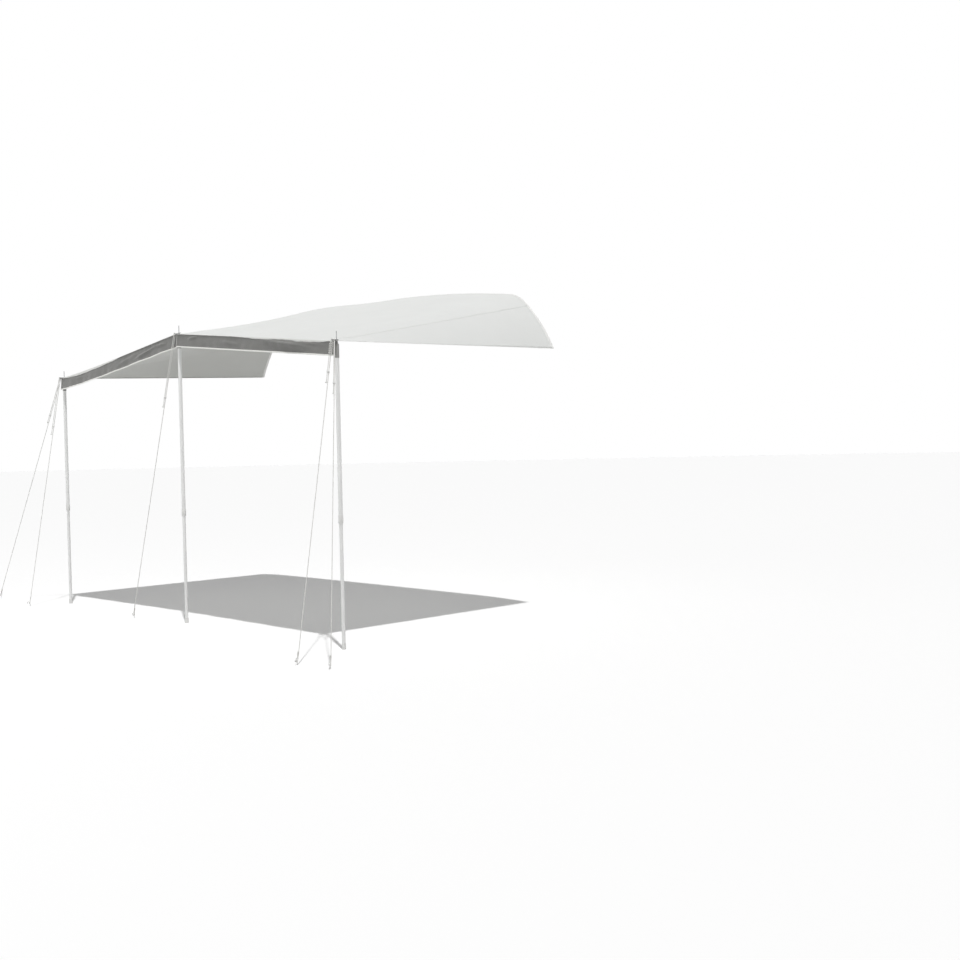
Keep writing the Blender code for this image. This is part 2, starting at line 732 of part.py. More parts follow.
def guy_line(name):
    """Places and directions of one guy line.

    neck is the peg's axis where the rope holds it, hole the lug's hole, start the rope's line beside
    the neck. climb runs up the rope, out across it to the side of its tail, and across is the way from
    the peg to the rope. stem runs up the peg and hook is the way its hook points, away from the canopy.
    """
    guy = GUYS[name]
    _, _, ball = seat(guy.pole)
    hole, way = lug_centre(guy.pole, guy.lug)
    neck = Vector((ball.x + guy.peg[0], ball.y + guy.peg[1], GROUND_Z + PEG_NECK))
    level = (hole - neck).cross(UP).normalized()
    start = neck + level * EYE_RADIUS
    climb = (hole - start).normalized()
    out = (way - climb * way.dot(climb)).normalized()
    away = start - hole
    away.z = 0
    away.normalize()
    lean = math.radians(PEG_LEAN)
    hook = away * math.cos(lean) - UP * math.sin(lean)
    stem = UP * math.cos(lean) + away * math.sin(lean)
    across = (level - hook * level.dot(hook)).normalized()
    return Line(neck, hole, start, climb, out, across, stem, hook)


def guy_route(name):
    """Route of one rope: its tail, up over the lug, down the long strand, round the peg and back."""
    line = guy_line(name)
    rise = line.climb * (PLATE_THICKNESS / 2 - TURN_SINK)
    tail_steps, strand_steps = 5, 9
    tail = GUYS[name].runner + TAIL_LENGTH
    beside = line.hole + line.out * 2 * TURN_RADIUS
    route = []
    for step in range(tail_steps + 1):
        share = step / tail_steps
        route.append(beside - line.climb * tail * (1 - share) + rise * share)
    middle = line.hole + rise + line.out * TURN_RADIUS
    for step in range(1, TURN_STEPS + 1):
        turn = math.pi * step / TURN_STEPS
        route.append(middle + (line.out * math.cos(turn) + line.climb * math.sin(turn)) * TURN_RADIUS)
    length = (line.hole - line.start).length - EYE_LENGTH / 3
    for step in range(1, strand_steps + 1):
        route.append(line.hole - line.climb * length * step / strand_steps)
    for step in range(TURN_STEPS + 1):
        turn = math.pi * step / TURN_STEPS
        route.append(line.neck + (line.across * math.cos(turn) + line.hook * math.sin(turn)) * EYE_RADIUS)
    closed = EYE_RADIUS - 2 * ROPE_RADIUS - 2 * GAP
    for along, side in ((EYE_LENGTH / 3, -EYE_RADIUS), (EYE_LENGTH * 2 / 3, closed),
                        (EYE_LENGTH, closed), (EYE_LENGTH + SPLICE_LENGTH, closed)):
        route.append(line.neck + line.climb * along + line.across * side)
    return route


def spare_route(name):
    """Route of the spare rope: a winding round both strands."""
    line = guy_line(name)
    side = line.climb.cross(line.out)
    top = line.hole + line.out * TURN_RADIUS - line.climb * SPARE_START
    radius = TURN_RADIUS + 2 * (ROPE_RADIUS + GAP)
    route = []
    for step in range(SPARE_TURNS * SPARE_STEPS + 1):
        turns = step / SPARE_STEPS
        angle = math.tau * turns
        reach = line.out * math.cos(angle) + side * math.sin(angle)
        route.append(top - line.climb * turns * SPARE_PITCH + reach * radius)
    return route


def build_spare(pole, name):
    """The winding, and the least space from one turn to the next."""
    route = spare_route(name)
    half_turn = SPARE_STEPS // 2
    apart = min((a - b).length for at, a in enumerate(route) for b in route[at + half_turn:])
    print("least gap of the spare rope to itself, in metres:", round(apart - 2 * ROPE_RADIUS, 5))
    tube("guy_spare_" + pole, route, ROPE_RADIUS, ROPE, resolution=1)


def build_runner(name):
    """A flat slider with a hole for each strand below the plate."""
    line = guy_line(name)
    frame = Matrix((line.out, line.climb.cross(line.out), line.climb)).transposed()
    place_on_line = line.hole + line.out * TURN_RADIUS - line.climb * GUYS[name].runner
    hub = pivot("runner_" + name, place_on_line, rotation=frame)
    radius = ROPE_RADIUS + GAP + RUNNER_WALL
    half = RUNNER_LENGTH / 2
    edge = RUNNER_EDGE
    rings = []
    for height, trim in ((-half, edge), (-half + edge, 0), (half - edge, 0), (half, edge)):
        ring = []
        for end in (1, -1):
            for step in range(TURN_STEPS + 1):
                turn = math.pi * (step / TURN_STEPS - end / 2)
                x = end * TURN_RADIUS + (radius - trim) * math.cos(turn)
                ring.append((x, (radius - trim) * math.sin(turn), height))
        rings.append(ring)
    runner = place("guy_runner_" + name, lofted("guy_runner_" + name, rings), WHITE_PLASTIC, hub)
    for x in (-TURN_RADIUS, TURN_RADIUS):
        ends = (x, 0, -half - CUT_PAST), (x, 0, half + CUT_PAST)
        cut(runner, rod("strand_hole", ROPE_RADIUS + GAP, *ends, hub, sides=STRAND_HOLE_SIDES))


def build_peg(name):
    """A leaning rod with a pointed end and a hook that points away from the canopy."""
    line = guy_line(name)
    top = line.neck + line.stem * PEG_RISE
    point = top - line.stem * PEG_LENGTH
    path = [point, point + line.stem * PEG_POINT, line.neck, top]
    for step in range(1, TURN_STEPS + 1):
        turn = math.pi * step / TURN_STEPS
        path.append(top + (line.hook * (1 - math.cos(turn)) + line.stem * math.sin(turn)) * HOOK_RADIUS)
    path.append(path[-1] - line.stem * HOOK_DROP)
    tube("peg_" + name, path, PEG_RADIUS, STEEL, resolution=1, point=PEG_TIP_RADIUS / PEG_RADIUS)


panels = build_roof()
build_hems()
build_keder()
build_valance()
for pole in POLES:
    build_eyelet(pole, panels)
    build_plate(pole)
    build_pole(pole)
for guy in GUYS:
    tube("guy_rope_" + guy, guy_route(guy), ROPE_RADIUS, ROPE)
    build_runner(guy)
    build_peg(guy)
build_spare("right", "right_front")
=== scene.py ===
"""Looks of a caravan sun canopy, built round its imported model. Lengths are in metres."""
import math
from collections import namedtuple

import bmesh
import bpy
from mathutils import Matrix, Vector, noise


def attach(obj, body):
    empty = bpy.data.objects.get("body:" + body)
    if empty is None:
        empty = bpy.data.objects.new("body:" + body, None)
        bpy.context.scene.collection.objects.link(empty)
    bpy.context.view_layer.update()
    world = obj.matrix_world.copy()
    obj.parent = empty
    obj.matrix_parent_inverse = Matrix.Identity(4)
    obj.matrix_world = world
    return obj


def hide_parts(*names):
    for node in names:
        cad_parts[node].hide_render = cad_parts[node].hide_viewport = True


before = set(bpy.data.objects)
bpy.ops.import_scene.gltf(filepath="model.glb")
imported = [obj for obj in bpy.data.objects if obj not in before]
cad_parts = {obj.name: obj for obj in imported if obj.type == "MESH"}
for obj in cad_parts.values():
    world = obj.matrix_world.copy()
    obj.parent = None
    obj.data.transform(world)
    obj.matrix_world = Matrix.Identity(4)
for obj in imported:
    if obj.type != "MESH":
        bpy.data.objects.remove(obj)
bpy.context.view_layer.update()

ROOT = "canopy"
UP = Vector((0, 0, 1))
AHEAD = Vector((0, -1, 0))

# The canopy's sizes, as its solids have them
RAIL_HEIGHT = 2.62
DEPTH = 2.10
POLE_SPACING = 1.95
LEFT_HEIGHT = 1.988
CENTRE_HEIGHT = 2.215
RIGHT_HEIGHT = 2.012
CENTRE_FLAT = 0.014
RAIL_ARCS = [(radius, math.radians(slope))
             for radius, slope in ((10.8, 8.0), (0.28, 41.0), (1.25, 64.0))]
SEAM_ON_RAIL = 1.7302
RAIL_HALF = 2.1710
SEAM_TOE = 0.070
SIDE_INSET = 0.014
FRONT_Y = -2.12
REAR_Y = -0.018
GROUND_Z = -RAIL_HEIGHT
BEAD_RADIUS = 0.0035
POLES = {"left": -POLE_SPACING, "centre": 0.0, "right": POLE_SPACING}

# Ropes and pegs
GAP = 0.0003
ROPE_RADIUS = 0.0025
TURN_RADIUS = 0.0054
TURN_SINK = 0.002
PLATE_THICKNESS = 0.003
EYE_RADIUS = 0.0058
EYE_LENGTH = 0.036
SPLICE_LENGTH = 0.024
SPLICE_TURNS = 9
TAIL_LENGTH = 0.070
THREAD_RADIUS = 0.0007
KNOT_SIZE = 0.0046
KNOT_DEPTH = 0.55
KNOT_DROP = 0.003
KNOT_ROPE = 0.92
SPARE_START = 0.016
SPARE_TURNS = 7
SPARE_PITCH = 0.0125
PEG_RADIUS = 0.003
PEG_LENGTH = 0.19
PEG_RISE = 0.012
PEG_HOOK = 0.009
PEG_LEAN = math.radians(20.0)

# The roof's cloth: thickness, how far it sags, and its billows on the ridge, each a place from
# the front edge back, a width and a height
CLOTH = 0.0011
SAG = 0.011
EDGE_SAG = 0.011
BILLOWS = ((0.665, 0.17, 0.026), (0.22, 0.17, -0.006))
BILLOW_SPREAD = 0.42
DRAWN_FOLDS = 11
DRAWN_HEIGHT = 0.0042
DRAWN_REACH = 0.55
SLOW_SWELL = 0.004
QUICK_SWELL = 0.0016
HOLE_RADIUS = 0.0073
HOLE_CLEAR = 1.35
CENTRE_STOP = 0.0039
CENTRE_CLEAR = 0.011

# Seams, hems and patches; an outline's points are places across a strip and above the cloth
SEAM_HALF = 0.006
SEAM_OUTLINE = ((-1, 0.0002), (-0.8, 0.0006), (0, 0.0007), (0.8, 0.0006), (1, 0.0002))
HEM_FALL = 0.0108
HEM_OUTLINE = ((0.014, 0.0004), (0.012, 0.0013), (0.004, 0.0015), (0.0, 0.0010),
               (-0.0027, -0.0006), (-0.0039, -0.0030), (-0.0040, -0.0058), (-0.0037, -0.0088),
               (-0.0030, -HEM_FALL))
SIDE_OUTLINE = ((-0.0045, 0.0008), (-0.001, 0.0014), (0.003, 0.0015), (0.008, 0.0013),
                (0.0097, 0.0006), (0.0099, -0.0003), (0.009, -0.0011), (0.004, -0.0014),
                (-0.001, -0.0017), (-0.0045, -0.0016))
PATCH_HALF = 0.055
PATCH_BACKS = (0.0038, 0.0357)
PATCH_WINGS = (1.04, 1.97)
PATCH_HOLE = 0.0077
PATCH_OPEN = 0.0072
PATCH_TRIM = 1.82
PATCH_DROP = CLOTH * 1.1 + 0.0009
PATCH_STEPS = 28

# Thicknesses of what is sewn to the roof and the valance
SEAM_CLOTH = 0.0005
HEM_CLOTH = 0.0007
BINDING_CLOTH = 0.0006
WEB_CLOTH = 0.0009
PIPING_CLOTH = 0.0005
BAND_CLOTH = 0.0003

# How unevenly hems and bindings are sewn, as shares
HEM_PUCKER = 0.16
BINDING_SWELL = 0.12

# How far the pale cloth comes down over the front edge: place along the edge, and reach
HEM_STOPS = ((-1.97, 0.003), (-1.93, 0.003), (-1.80, 0.015), (-1.60, 0.021), (-1.33, 0.0185),
             (-1.07, 0.0125), (-0.84, 0.0022), (0.75, 0.0022), (1.12, 0.012), (1.35, 0.010),
             (1.60, 0.017), (1.80, 0.015), (1.93, 0.004), (1.97, 0.003))

# Valance
VALANCE_START = 0.004
VALANCE_LENGTH = POLE_SPACING + SIDE_INSET - VALANCE_START
VALANCE_TOP = 0.002
VALANCE_HEIGHT = 0.094
VALANCE_LEAN = 0.008
VALANCE_CLOTH = 0.0009
FOLD_DEPTH = 0.009
FOLD_COUNT = 5
FINE_DEPTH = 0.0012
FINE_COUNT = 16.5
PUCKER_DEPTH = 0.0007
SWAY_DEPTH = 0.0011
EDGE_WANDER = 0.0006
END_HANG = 0.06
MIDDLE_HANG = 0.04
SEAM_TUCK = 0.0018
PIPING_RADIUS = 0.0025

# Drag folds in the valance: both ends as places along the edge and depths below it, then width
# and height
CREASES = ((1.08, 0.012, 1.76, 0.052, 0.0125, 0.0215), (1.36, 0.018, 1.90, 0.028, 0.0070, 0.0080),
           (0.16, 0.034, 0.31, 0.007, 0.0068, 0.0080), (0.60, 0.037, 0.86, 0.055, 0.0100, 0.0080),
           (-0.67, 0.070, -0.27, 0.025, 0.0085, 0.0090),
           (-0.33, 0.025, -0.14, 0.044, 0.0070, 0.0095),
           (-0.95, 0.060, -0.60, 0.030, 0.0120, 0.0065),
           (-1.78, 0.034, -1.42, 0.052, 0.0080, 0.0030))
CREASE_BELOW = 1.9

# Stitches: six points round each and two on its ridge, and the faces between them
STITCH_PITCH = 0.0042
STITCH_LENGTH = 0.0028
STITCH_WIDTH = 0.0005
STITCH_RISE = 0.00035
STITCH_RING = ((-0.5, 0), (-0.3, -1), (0.3, -1), (0.5, 0), (0.3, 1), (-0.3, 1))
STITCH_RIDGE = (-0.28, 0.28)
STITCH_FACES = ((0, 1, 6), (1, 2, 7, 6), (2, 3, 7), (3, 4, 7), (4, 5, 6, 7), (5, 0, 6),
                (5, 4, 3, 2, 1, 0))

# The photograph's viewpoint
CAMERA_SPOT = (8.1627, -6.9185, -1.3307)
CAMERA_YAW = 0.7949
CAMERA_PITCH = -0.0258
CAMERA_ROLL = -0.0210
LENS_MM = 45
SENSOR_MM = 36

# Light
SKY = 0.20
SUN = 0.70
SUN_DISC = math.radians(1.2)
SUN_WAY = Vector((0.33, -0.18, 1))
FILL = 170
FILL_SIZE = 7
FILL_SPOT = Vector((-3.0, -13.0, 1.8))
FILL_AIM = Vector((0, -2, -1))
FLOOR_SIZE = 120
FLOOR_TONE = 0.92
FLOOR_GLOW = 0.17

# Solids that stay, by how their names start, with their looks
NODE_LOOKS = {
    "eyelet_": "steel", "spike_": "steel", "guy_plate_": "black", "pole_head_": "grey",
    "upper_tube_": "paint", "lower_tube_": "paint", "clamp_collar_": "white",
    "thumb_screw_": "black", "foot_cap_": "rubber", "guy_runner_": "white",
}
MOULDED_LOOKS = ("black", "grey", "white", "rubber")
SHARP_ANGLE = math.radians(32)
TUBE_SHARP = math.radians(50)
WELD_REACH = 0.00002
EDGE_BEVEL = 0.0004


# Camera

def build_camera():
    yaw, pitch, roll = CAMERA_YAW, CAMERA_PITCH, CAMERA_ROLL
    ahead = Vector((-math.sin(yaw) * math.cos(pitch), math.cos(yaw) * math.cos(pitch),
                    math.sin(pitch)))
    level = Vector((math.cos(yaw), math.sin(yaw), 0))
    above = level.cross(ahead)
    right = level * math.cos(roll) + above * math.sin(roll)
    up = above * math.cos(roll) - level * math.sin(roll)
    data = bpy.data.cameras.new("camera")
    data.lens, data.sensor_width = LENS_MM, SENSOR_MM
    data.clip_start, data.clip_end = 0.1, 300
    camera = bpy.data.objects.new("camera", data)
    bpy.context.scene.collection.objects.link(camera)
    turn = Matrix((right, up, -ahead)).transposed().to_4x4()
    camera.matrix_world = Matrix.Translation(CAMERA_SPOT) @ turn
    bpy.context.scene.camera = camera


# Materials

class Nodes:
    """Short words for building one material's nodes."""

    def __init__(self, name, colour, roughness, metallic=0.0):
        self.material = bpy.data.materials.new(name)
        self.material.use_nodes = True
        self.tree = self.material.node_tree
        self.shader = self.tree.nodes["Principled BSDF"]
        self.shader.inputs["Base Color"].default_value = (*colour, 1)
        self.shader.inputs["Roughness"].default_value = roughness
        self.shader.inputs["Metallic"].default_value = metallic
        self.place = self.tree.nodes.new("ShaderNodeTexCoord")

    def feed(self, socket, value):
        """Link a socket to another node's, or set its number."""
        if isinstance(value, bpy.types.NodeSocket):
            self.tree.links.new(value, socket)
        else:
            socket.default_value = value

    def add(self, kind, **inputs):
        node = self.tree.nodes.new("ShaderNode" + kind)
        for key, value in inputs.items():
            self.feed(node.inputs[key.replace("_", " ")], value)
        return node

    def spots(self, scale=(1, 1, 1), where="Object"):
        """Coordinates in metres, times a scale along each axis."""
        return self.add("Mapping", Vector=self.place.outputs[where], Scale=scale).outputs[0]

    def cloud(self, size, detail=3.0, scale=(1, 1, 1), rough=0.55):
        """Soft noise of about that size."""
        return self.add("TexNoise", Vector=self.spots(scale), Scale=1 / size, Detail=detail,
                        Roughness=rough).outputs["Fac"]

    def ribs(self, axis, pitch):
        """A smooth wave from 0 to 1 along one axis. At scale 1 the node makes 20 / tau waves in a
        metre."""
        node = self.add("TexWave", Vector=self.spots(), Scale=math.tau / (20 * pitch),
                        Distortion=0.0)
        node.wave_type, node.bands_direction, node.wave_profile = "BANDS", axis, "SIN"
        return node.outputs["Fac"]

    def maths(self, operation, first, second=0.0):
        node = self.tree.nodes.new("ShaderNodeMath")
        node.operation = operation
        self.feed(node.inputs[0], first)
        self.feed(node.inputs[1], second)
        return node.outputs[0]

    def blend(self, first, share, second):
        """A share of the first value with the rest of the second."""
        return self.maths("ADD", self.maths("MULTIPLY", first, share),
                          self.maths("MULTIPLY", second, 1 - share))

    def ramp(self, value, stops):
        node = self.tree.nodes.new("ShaderNodeValToRGB")
        self.tree.links.new(value, node.inputs[0])
        band = node.color_ramp.elements
        while len(band) < len(stops):
            band.new(0.5)
        for element, (at, colour) in zip(band, stops):
            element.position = at
            element.color = (*colour, 1)
        return node.outputs[0]

    def into(self, name, value):
        self.tree.links.new(value, self.shader.inputs[name])

    def tone(self, colour, value, spread):
        """The colour, a little darker and lighter as the value goes from 0.3 to 0.7."""
        low = [c * (1 - spread) for c in colour]
        high = [min(1, c * (1 + spread)) for c in colour]
        self.into("Base Color", self.ramp(value, ((0.3, low), (0.7, high))))

    def rough(self, value, low, high):
        """The roughness, from low to high as the value goes from 0.3 to 0.7."""
        node = self.add("MapRange", Value=value, From_Min=0.3, From_Max=0.7, To_Min=low,
                        To_Max=high)
        self.into("Roughness", node.outputs[0])

    def bump(self, *layers):
        """Heights and their depths in metres, laid over each other."""
        normal = None
        for height, depth in layers:
            node = self.add("Bump", Height=height, Strength=1.0, Distance=depth)
            if normal is not None:
                self.tree.links.new(normal, node.inputs["Normal"])
            normal = node.outputs[0]
        self.into("Normal", normal)


def woven(name, colour, roughness, pitch, depth, axes="XY", spread=0.03, cloud=0.35, sheen=0.0):
    """Cloth: two crossing sets of threads, uneven yarn and a soft change of tone."""
    made = Nodes(name, colour, roughness)
    made.tone(colour, made.blend(made.cloud(cloud), 0.7, made.cloud(pitch * 14)), spread)
    made.rough(made.cloud(cloud / 3), roughness - 0.06, roughness + 0.06)
    weave = made.maths("MULTIPLY", *[made.ribs(axis, pitch) for axis in axes])
    made.bump((weave, depth), (made.cloud(pitch * 6), depth * 1.2),
              (made.cloud(0.11, 2.0), 0.0009))
    if sheen:
        made.shader.inputs["Sheen Weight"].default_value = sheen
        made.shader.inputs["Sheen Roughness"].default_value = 0.3
    return made.material


def moulded(name, colour, roughness, grain=0.0006, depth=0.00004, spread=0.12):
    """Plastic or rubber with a fine grain and faint scuffs."""
    made = Nodes(name, colour, roughness)
    scuffs = made.cloud(0.018, 5.0, (1, 1, 0.35), 0.7)
    made.tone(colour, scuffs, spread)
    made.rough(made.cloud(0.009, 4.0), roughness - 0.1, roughness + 0.1)
    made.bump((made.cloud(grain, 2.0), depth), (scuffs, depth))
    return made.material


def metal(name, colour, roughness, metallic, brush=(1, 1, 0.02), spread=0.06):
    """Metal or its paint, drawn lengthwise, with dull patches."""
    made = Nodes(name, colour, roughness, metallic)
    drawn = made.cloud(0.0012, 3.0, brush, 0.6)
    dull = made.cloud(0.06, 5.0, (1, 1, 0.4), 0.65)
    made.tone(colour, made.blend(drawn, 0.35, dull), spread)
    made.rough(dull, roughness - 0.08, roughness + 0.10)
    made.bump((drawn, 0.00003), (made.cloud(0.004, 3.0), 0.00003))
    return made.material


def braided(name, colour, roughness):
    """Rope: strands that cross along its length, by the tube's own coordinates in metres."""
    made = Nodes(name, colour, roughness)
    strands = 8 / (math.tau * ROPE_RADIUS)
    crossing = []
    for lean in (0.8, -0.8):
        split = made.add("SeparateXYZ", Vector=made.spots((strands, strands * lean, 0), "UV"))
        both = made.maths("ADD", split.outputs[0], split.outputs[1])
        crossing.append(made.maths("SINE", made.maths("MULTIPLY", both, math.pi)))
    plait = made.maths("ABSOLUTE", made.maths("MULTIPLY", *crossing))
    # Painted shade: the grooves between strands, low in the plait's height, are darkened and the
    # crests lightened
    made.into("Base Color", made.ramp(plait, ((0.0, [c * 0.72 for c in colour]), (0.35, colour),
                                              (1.0, [min(1, c * 1.06) for c in colour]))))
    made.rough(made.cloud(0.01), roughness - 0.05, roughness + 0.05)
    made.bump((plait, 0.0004), (made.cloud(0.0008), 0.0001))
    made.shader.inputs["Sheen Weight"].default_value = 0.15
    return made.material


def finishes():
    return {
        "roof": woven("roof_fabric", (0.80, 0.81, 0.795), 0.62, 0.0008, 0.00012, spread=0.015),
        # Painted shade: the underside is the top's cloth made darker, standing in for the shade
        # under the roof
        "under": woven("roof_underside_painted_shade", (0.61, 0.615, 0.59), 0.55, 0.0008, 0.00008, spread=0.02),
        "valance": woven("valance_fabric", (0.174, 0.174, 0.165), 0.44, 0.0009, 0.00008, "XZ",
                         0.04, 0.12, 0.4),
        "piping": woven("piping_fabric", (0.90, 0.90, 0.865), 0.66, 0.0007, 0.00010, "XZ", 0.03,
                        0.05),
        "hem": woven("hem_fabric", (0.84, 0.845, 0.82), 0.66, 0.0008, 0.00012, spread=0.02),
        "flange": woven("flange_fabric", (0.90, 0.90, 0.88), 0.70, 0.0012, 0.0002, cloud=0.05),
        "web": woven("web_fabric", (0.60, 0.60, 0.565), 0.80, 0.0016, 0.0003, spread=0.06,
                     cloud=0.03),
        "thread": woven("thread_fibre", (0.84, 0.84, 0.81), 0.65, 0.0005, 0.00008, spread=0.05,
                        cloud=0.02),
        "dark_thread": woven("dark_thread_fibre", (0.30, 0.30, 0.29), 0.7, 0.0005, 0.00008,
                             spread=0.05, cloud=0.02),
        "bead": moulded("bead_plastic", (0.90, 0.90, 0.88), 0.42, 0.0009, 0.00003, 0.03),
        "black": moulded("plate_plastic", (0.035, 0.035, 0.036), 0.50),
        "grey": moulded("head_moulding", (0.36, 0.36, 0.35), 0.50, 0.0007, 0.00004, 0.05),
        "white": moulded("collar_plastic", (0.78, 0.78, 0.765), 0.42, 0.0007, 0.00004, 0.03),
        "rubber": moulded("foot_moulding", (0.76, 0.76, 0.745), 0.74, 0.0009, 0.00006, 0.06),
        "paint": metal("pole_paint", (0.83, 0.835, 0.825), 0.36, 0.15),
        "steel": metal("plated_steel", (0.38, 0.385, 0.39), 0.46, 1.0, (1, 1, 0.15), 0.10),
        "zinc": metal("peg_zinc", (0.74, 0.74, 0.73), 0.42, 0.7, (1, 1, 0.15)),
        "rope": braided("rope_braid", (0.84, 0.84, 0.81), 0.85),
    }


# Meshes

def put(name, data, *materials):
    made = bpy.data.objects.new(name, data)
    bpy.context.scene.collection.objects.link(made)
    for finish in materials:
        data.materials.append(finish)
    return made


def to_mesh(name, bm):
    data = bpy.data.meshes.new(name)
    bm.to_mesh(data)
    bm.free()
    data.shade_smooth()
    return data


def grid_mesh(name, rows):
    """Faces through rows of points; None leaves a hole."""
    bm = bmesh.new()
    made = [[None if point is None else bm.verts.new(point) for point in row] for row in rows]
    for near, far in zip(made, made[1:]):
        for corners in zip(near, near[1:], far[1:], far):
            if None not in corners:
                bm.faces.new(corners)
    return to_mesh(name, bm)


def thicken(piece, thickness, side=0.0, under=0):
    made = piece.modifiers.new("thickness", "SOLIDIFY")
    made.thickness = thickness
    made.offset = side
    made.material_offset = under
    made.material_offset_rim = 0


def side_of(way):
    """A direction across the given one, level unless that one is steep."""
    return way.cross(UP if abs(way.z) < 0.9 else Vector((1, 0, 0))).normalized()


def frames_along(path):
    """A pair of axes across each point of a path, turned as little as possible along it."""
    ways = []
    for before, after in zip([path[0]] + path[:-1], path[1:] + [path[-1]]):
        ways.append((after - before).normalized())
    side = side_of(ways[0])
    found = []
    for way in ways:
        side = (side - way * side.dot(way)).normalized()
        found.append((side, way.cross(side)))
    return found


def tube(name, path, radius, finish, sides=12, radii=None):
    """A closed round tube along a path, with its own coordinates in metres."""
    bm = bmesh.new()
    sheet = bm.loops.layers.uv.new("UVMap")
    rings, along, walked = [], [], 0.0
    for at, (point, (side, other)) in enumerate(zip(path, frames_along(path))):
        if at:
            walked += (point - path[at - 1]).length
        along.append(walked)
        reach = radius * (radii[at] if radii else 1)
        ring = []
        for k in range(sides):
            turn = math.tau * k / sides
            ring.append(bm.verts.new(
                point + (side * math.cos(turn) + other * math.sin(turn)) * reach))
        rings.append(ring)
    step = math.tau * radius / sides
    for at, (near, far) in enumerate(zip(rings, rings[1:])):
        for k in range(sides):
            after = (k + 1) % sides
            face = bm.faces.new((near[k], near[after], far[after], far[k]))
            spots = ((k, at), (k + 1, at), (k + 1, at + 1), (k, at + 1))
            for loop, (round_it, on_path) in zip(face.loops, spots):
                loop[sheet].uv = (round_it * step, along[on_path])
    bm.faces.new(reversed(rings[0]))
    bm.faces.new(rings[-1])
    bmesh.ops.recalc_face_normals(bm, faces=bm.faces)
    data = to_mesh(name, bm)
    data.set_sharp_from_angle(angle=TUBE_SHARP)
    return put(name, data, finish)


def smooth(points, spacing):
    """Points on a Catmull-Rom curve through the given ones, about that far apart."""
    found = [points[0]]
    ends = [points[0] * 2 - points[1]] + points + [points[-1] * 2 - points[-2]]
    for a, b, c, d in zip(ends, ends[1:], ends[2:], ends[3:]):
        steps = max(1, round((c - b).length / spacing))
        for step in range(1, steps + 1):
            t = step / steps
            found.append(((b * 2) + (c - a) * t + (a * 2 - b * 5 + c * 4 - d) * t ** 2
                          + (b * 3 - a - c * 3 + d) * t ** 3) / 2)
    return found


def stitches(name, lines, finish):
    """Short raised threads along lines of points; each line has a normal for every point."""
    bm = bmesh.new()
    for points, normals in lines:
        at = STITCH_PITCH
        for a, b, normal in zip(points, points[1:], normals):
            span = (b - a).length
            way = (b - a).normalized()
            side = way.cross(normal).normalized()
            while at < span:
                middle = a + way * at
                made = [bm.verts.new(middle + way * along * STITCH_LENGTH
                                     + side * out * STITCH_WIDTH) for along, out in STITCH_RING]
                made += [bm.verts.new(middle + way * along * STITCH_LENGTH
                                      + normal * STITCH_RISE) for along in STITCH_RIDGE]
                for corners in STITCH_FACES:
                    bm.faces.new([made[corner] for corner in corners])
                at += STITCH_PITCH
            at -= span
    return put(name, to_mesh(name, bm), finish)


def stand_in(piece, slot, *nodes):
    """Put a piece on the canopy's body, in place of the solids named."""
    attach(piece, ROOT)
    if nodes:
        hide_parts(*nodes)
    return piece


# Guy lines

# Each guy line: the lug's hole, the way its lug points, the peg's neck and how far below the
# lug its runner is
Guy = namedtuple("Guy", "hole way neck runner")
GUYS = {
    "left_side": Guy((-1.97823, -2.11621, -0.63164), (-0.85554, -0.49121, -0.1636),
                     (-2.945, -2.307, -2.598), 0.36),
    "left_front": Guy((-1.95566, -2.13239, -0.62905), (-0.17155, -0.98151, -0.08492),
                      (-2.081, -2.414, -2.598), 0.43),
    "centre": Guy((0.0, -2.1324, -0.40281), (0.0, -0.98194, -0.18919),
                  (-0.6, -2.22, -2.598), 0.50),
    "right_front": Guy((1.94829, -2.13293, -0.6038), (-0.05179, -0.99785, -0.04017),
                       (2.179, -2.64, -2.598), 0.22),
    "right_side": Guy((1.96731, -2.12783, -0.60632), (0.52443, -0.84345, -0.11648),
                      (2.446, -2.593, -2.598), 0.30),
}
Line = namedtuple("Line", "hole neck start climb out across stem hook")


def guy_line(name):
    """One line's directions: climb up the rope, out to its tail, stem up the peg, and hook away
    from the canopy."""
    guy = GUYS[name]
    hole, way, neck = Vector(guy.hole), Vector(guy.way), Vector(guy.neck)
    level = (hole - neck).cross(UP).normalized()
    start = neck + level * EYE_RADIUS
    climb = (hole - start).normalized()
    out = (way - climb * way.dot(climb)).normalized()
    away = start - hole
    away.z = 0
    away.normalize()
    hook = away * math.cos(PEG_LEAN) - UP * math.sin(PEG_LEAN)
    stem = UP * math.cos(PEG_LEAN) + away * math.sin(PEG_LEAN)
    across = (level - hook * level.dot(hook)).normalized()
    return Line(hole, neck, start, climb, out, across, stem, hook)


def half_turn(middle, one, other, radius):
    steps = 12
    return [middle + (one * math.cos(math.pi * k / steps)
                      + other * math.sin(math.pi * k / steps)) * radius
            for k in range(steps + 1)]


def rope_route(name):
    """From the knot at the tail's end, over the lug, down to the peg, round its neck and back."""
    line = guy_line(name)
    rise = line.climb * (PLATE_THICKNESS / 2 - TURN_SINK)
    tail = GUYS[name].runner + TAIL_LENGTH
    beside = line.hole + line.out * 2 * TURN_RADIUS
    route = []
    steps = 24
    for step in range(steps):
        share = step / steps
        route.append(beside - line.climb * tail * (1 - share) + rise * share)
    route += half_turn(line.hole + rise + line.out * TURN_RADIUS, line.out, line.climb,
                       TURN_RADIUS)
    length = (line.hole - line.start).length - EYE_LENGTH / 3
    steps = 60
    route += [line.hole - line.climb * length * step / steps for step in range(1, steps + 1)]
    route += half_turn(line.neck, line.across, line.hook, EYE_RADIUS)
    closed = EYE_RADIUS - 2 * ROPE_RADIUS - 2 * GAP
    back = [(EYE_LENGTH / 3, -EYE_RADIUS), (EYE_LENGTH * 2 / 3, closed), (EYE_LENGTH, closed),
            (EYE_LENGTH + SPLICE_LENGTH, closed)]
    return route + smooth([line.neck + line.climb * along + line.across * side
                           for along, side in back], 0.004)


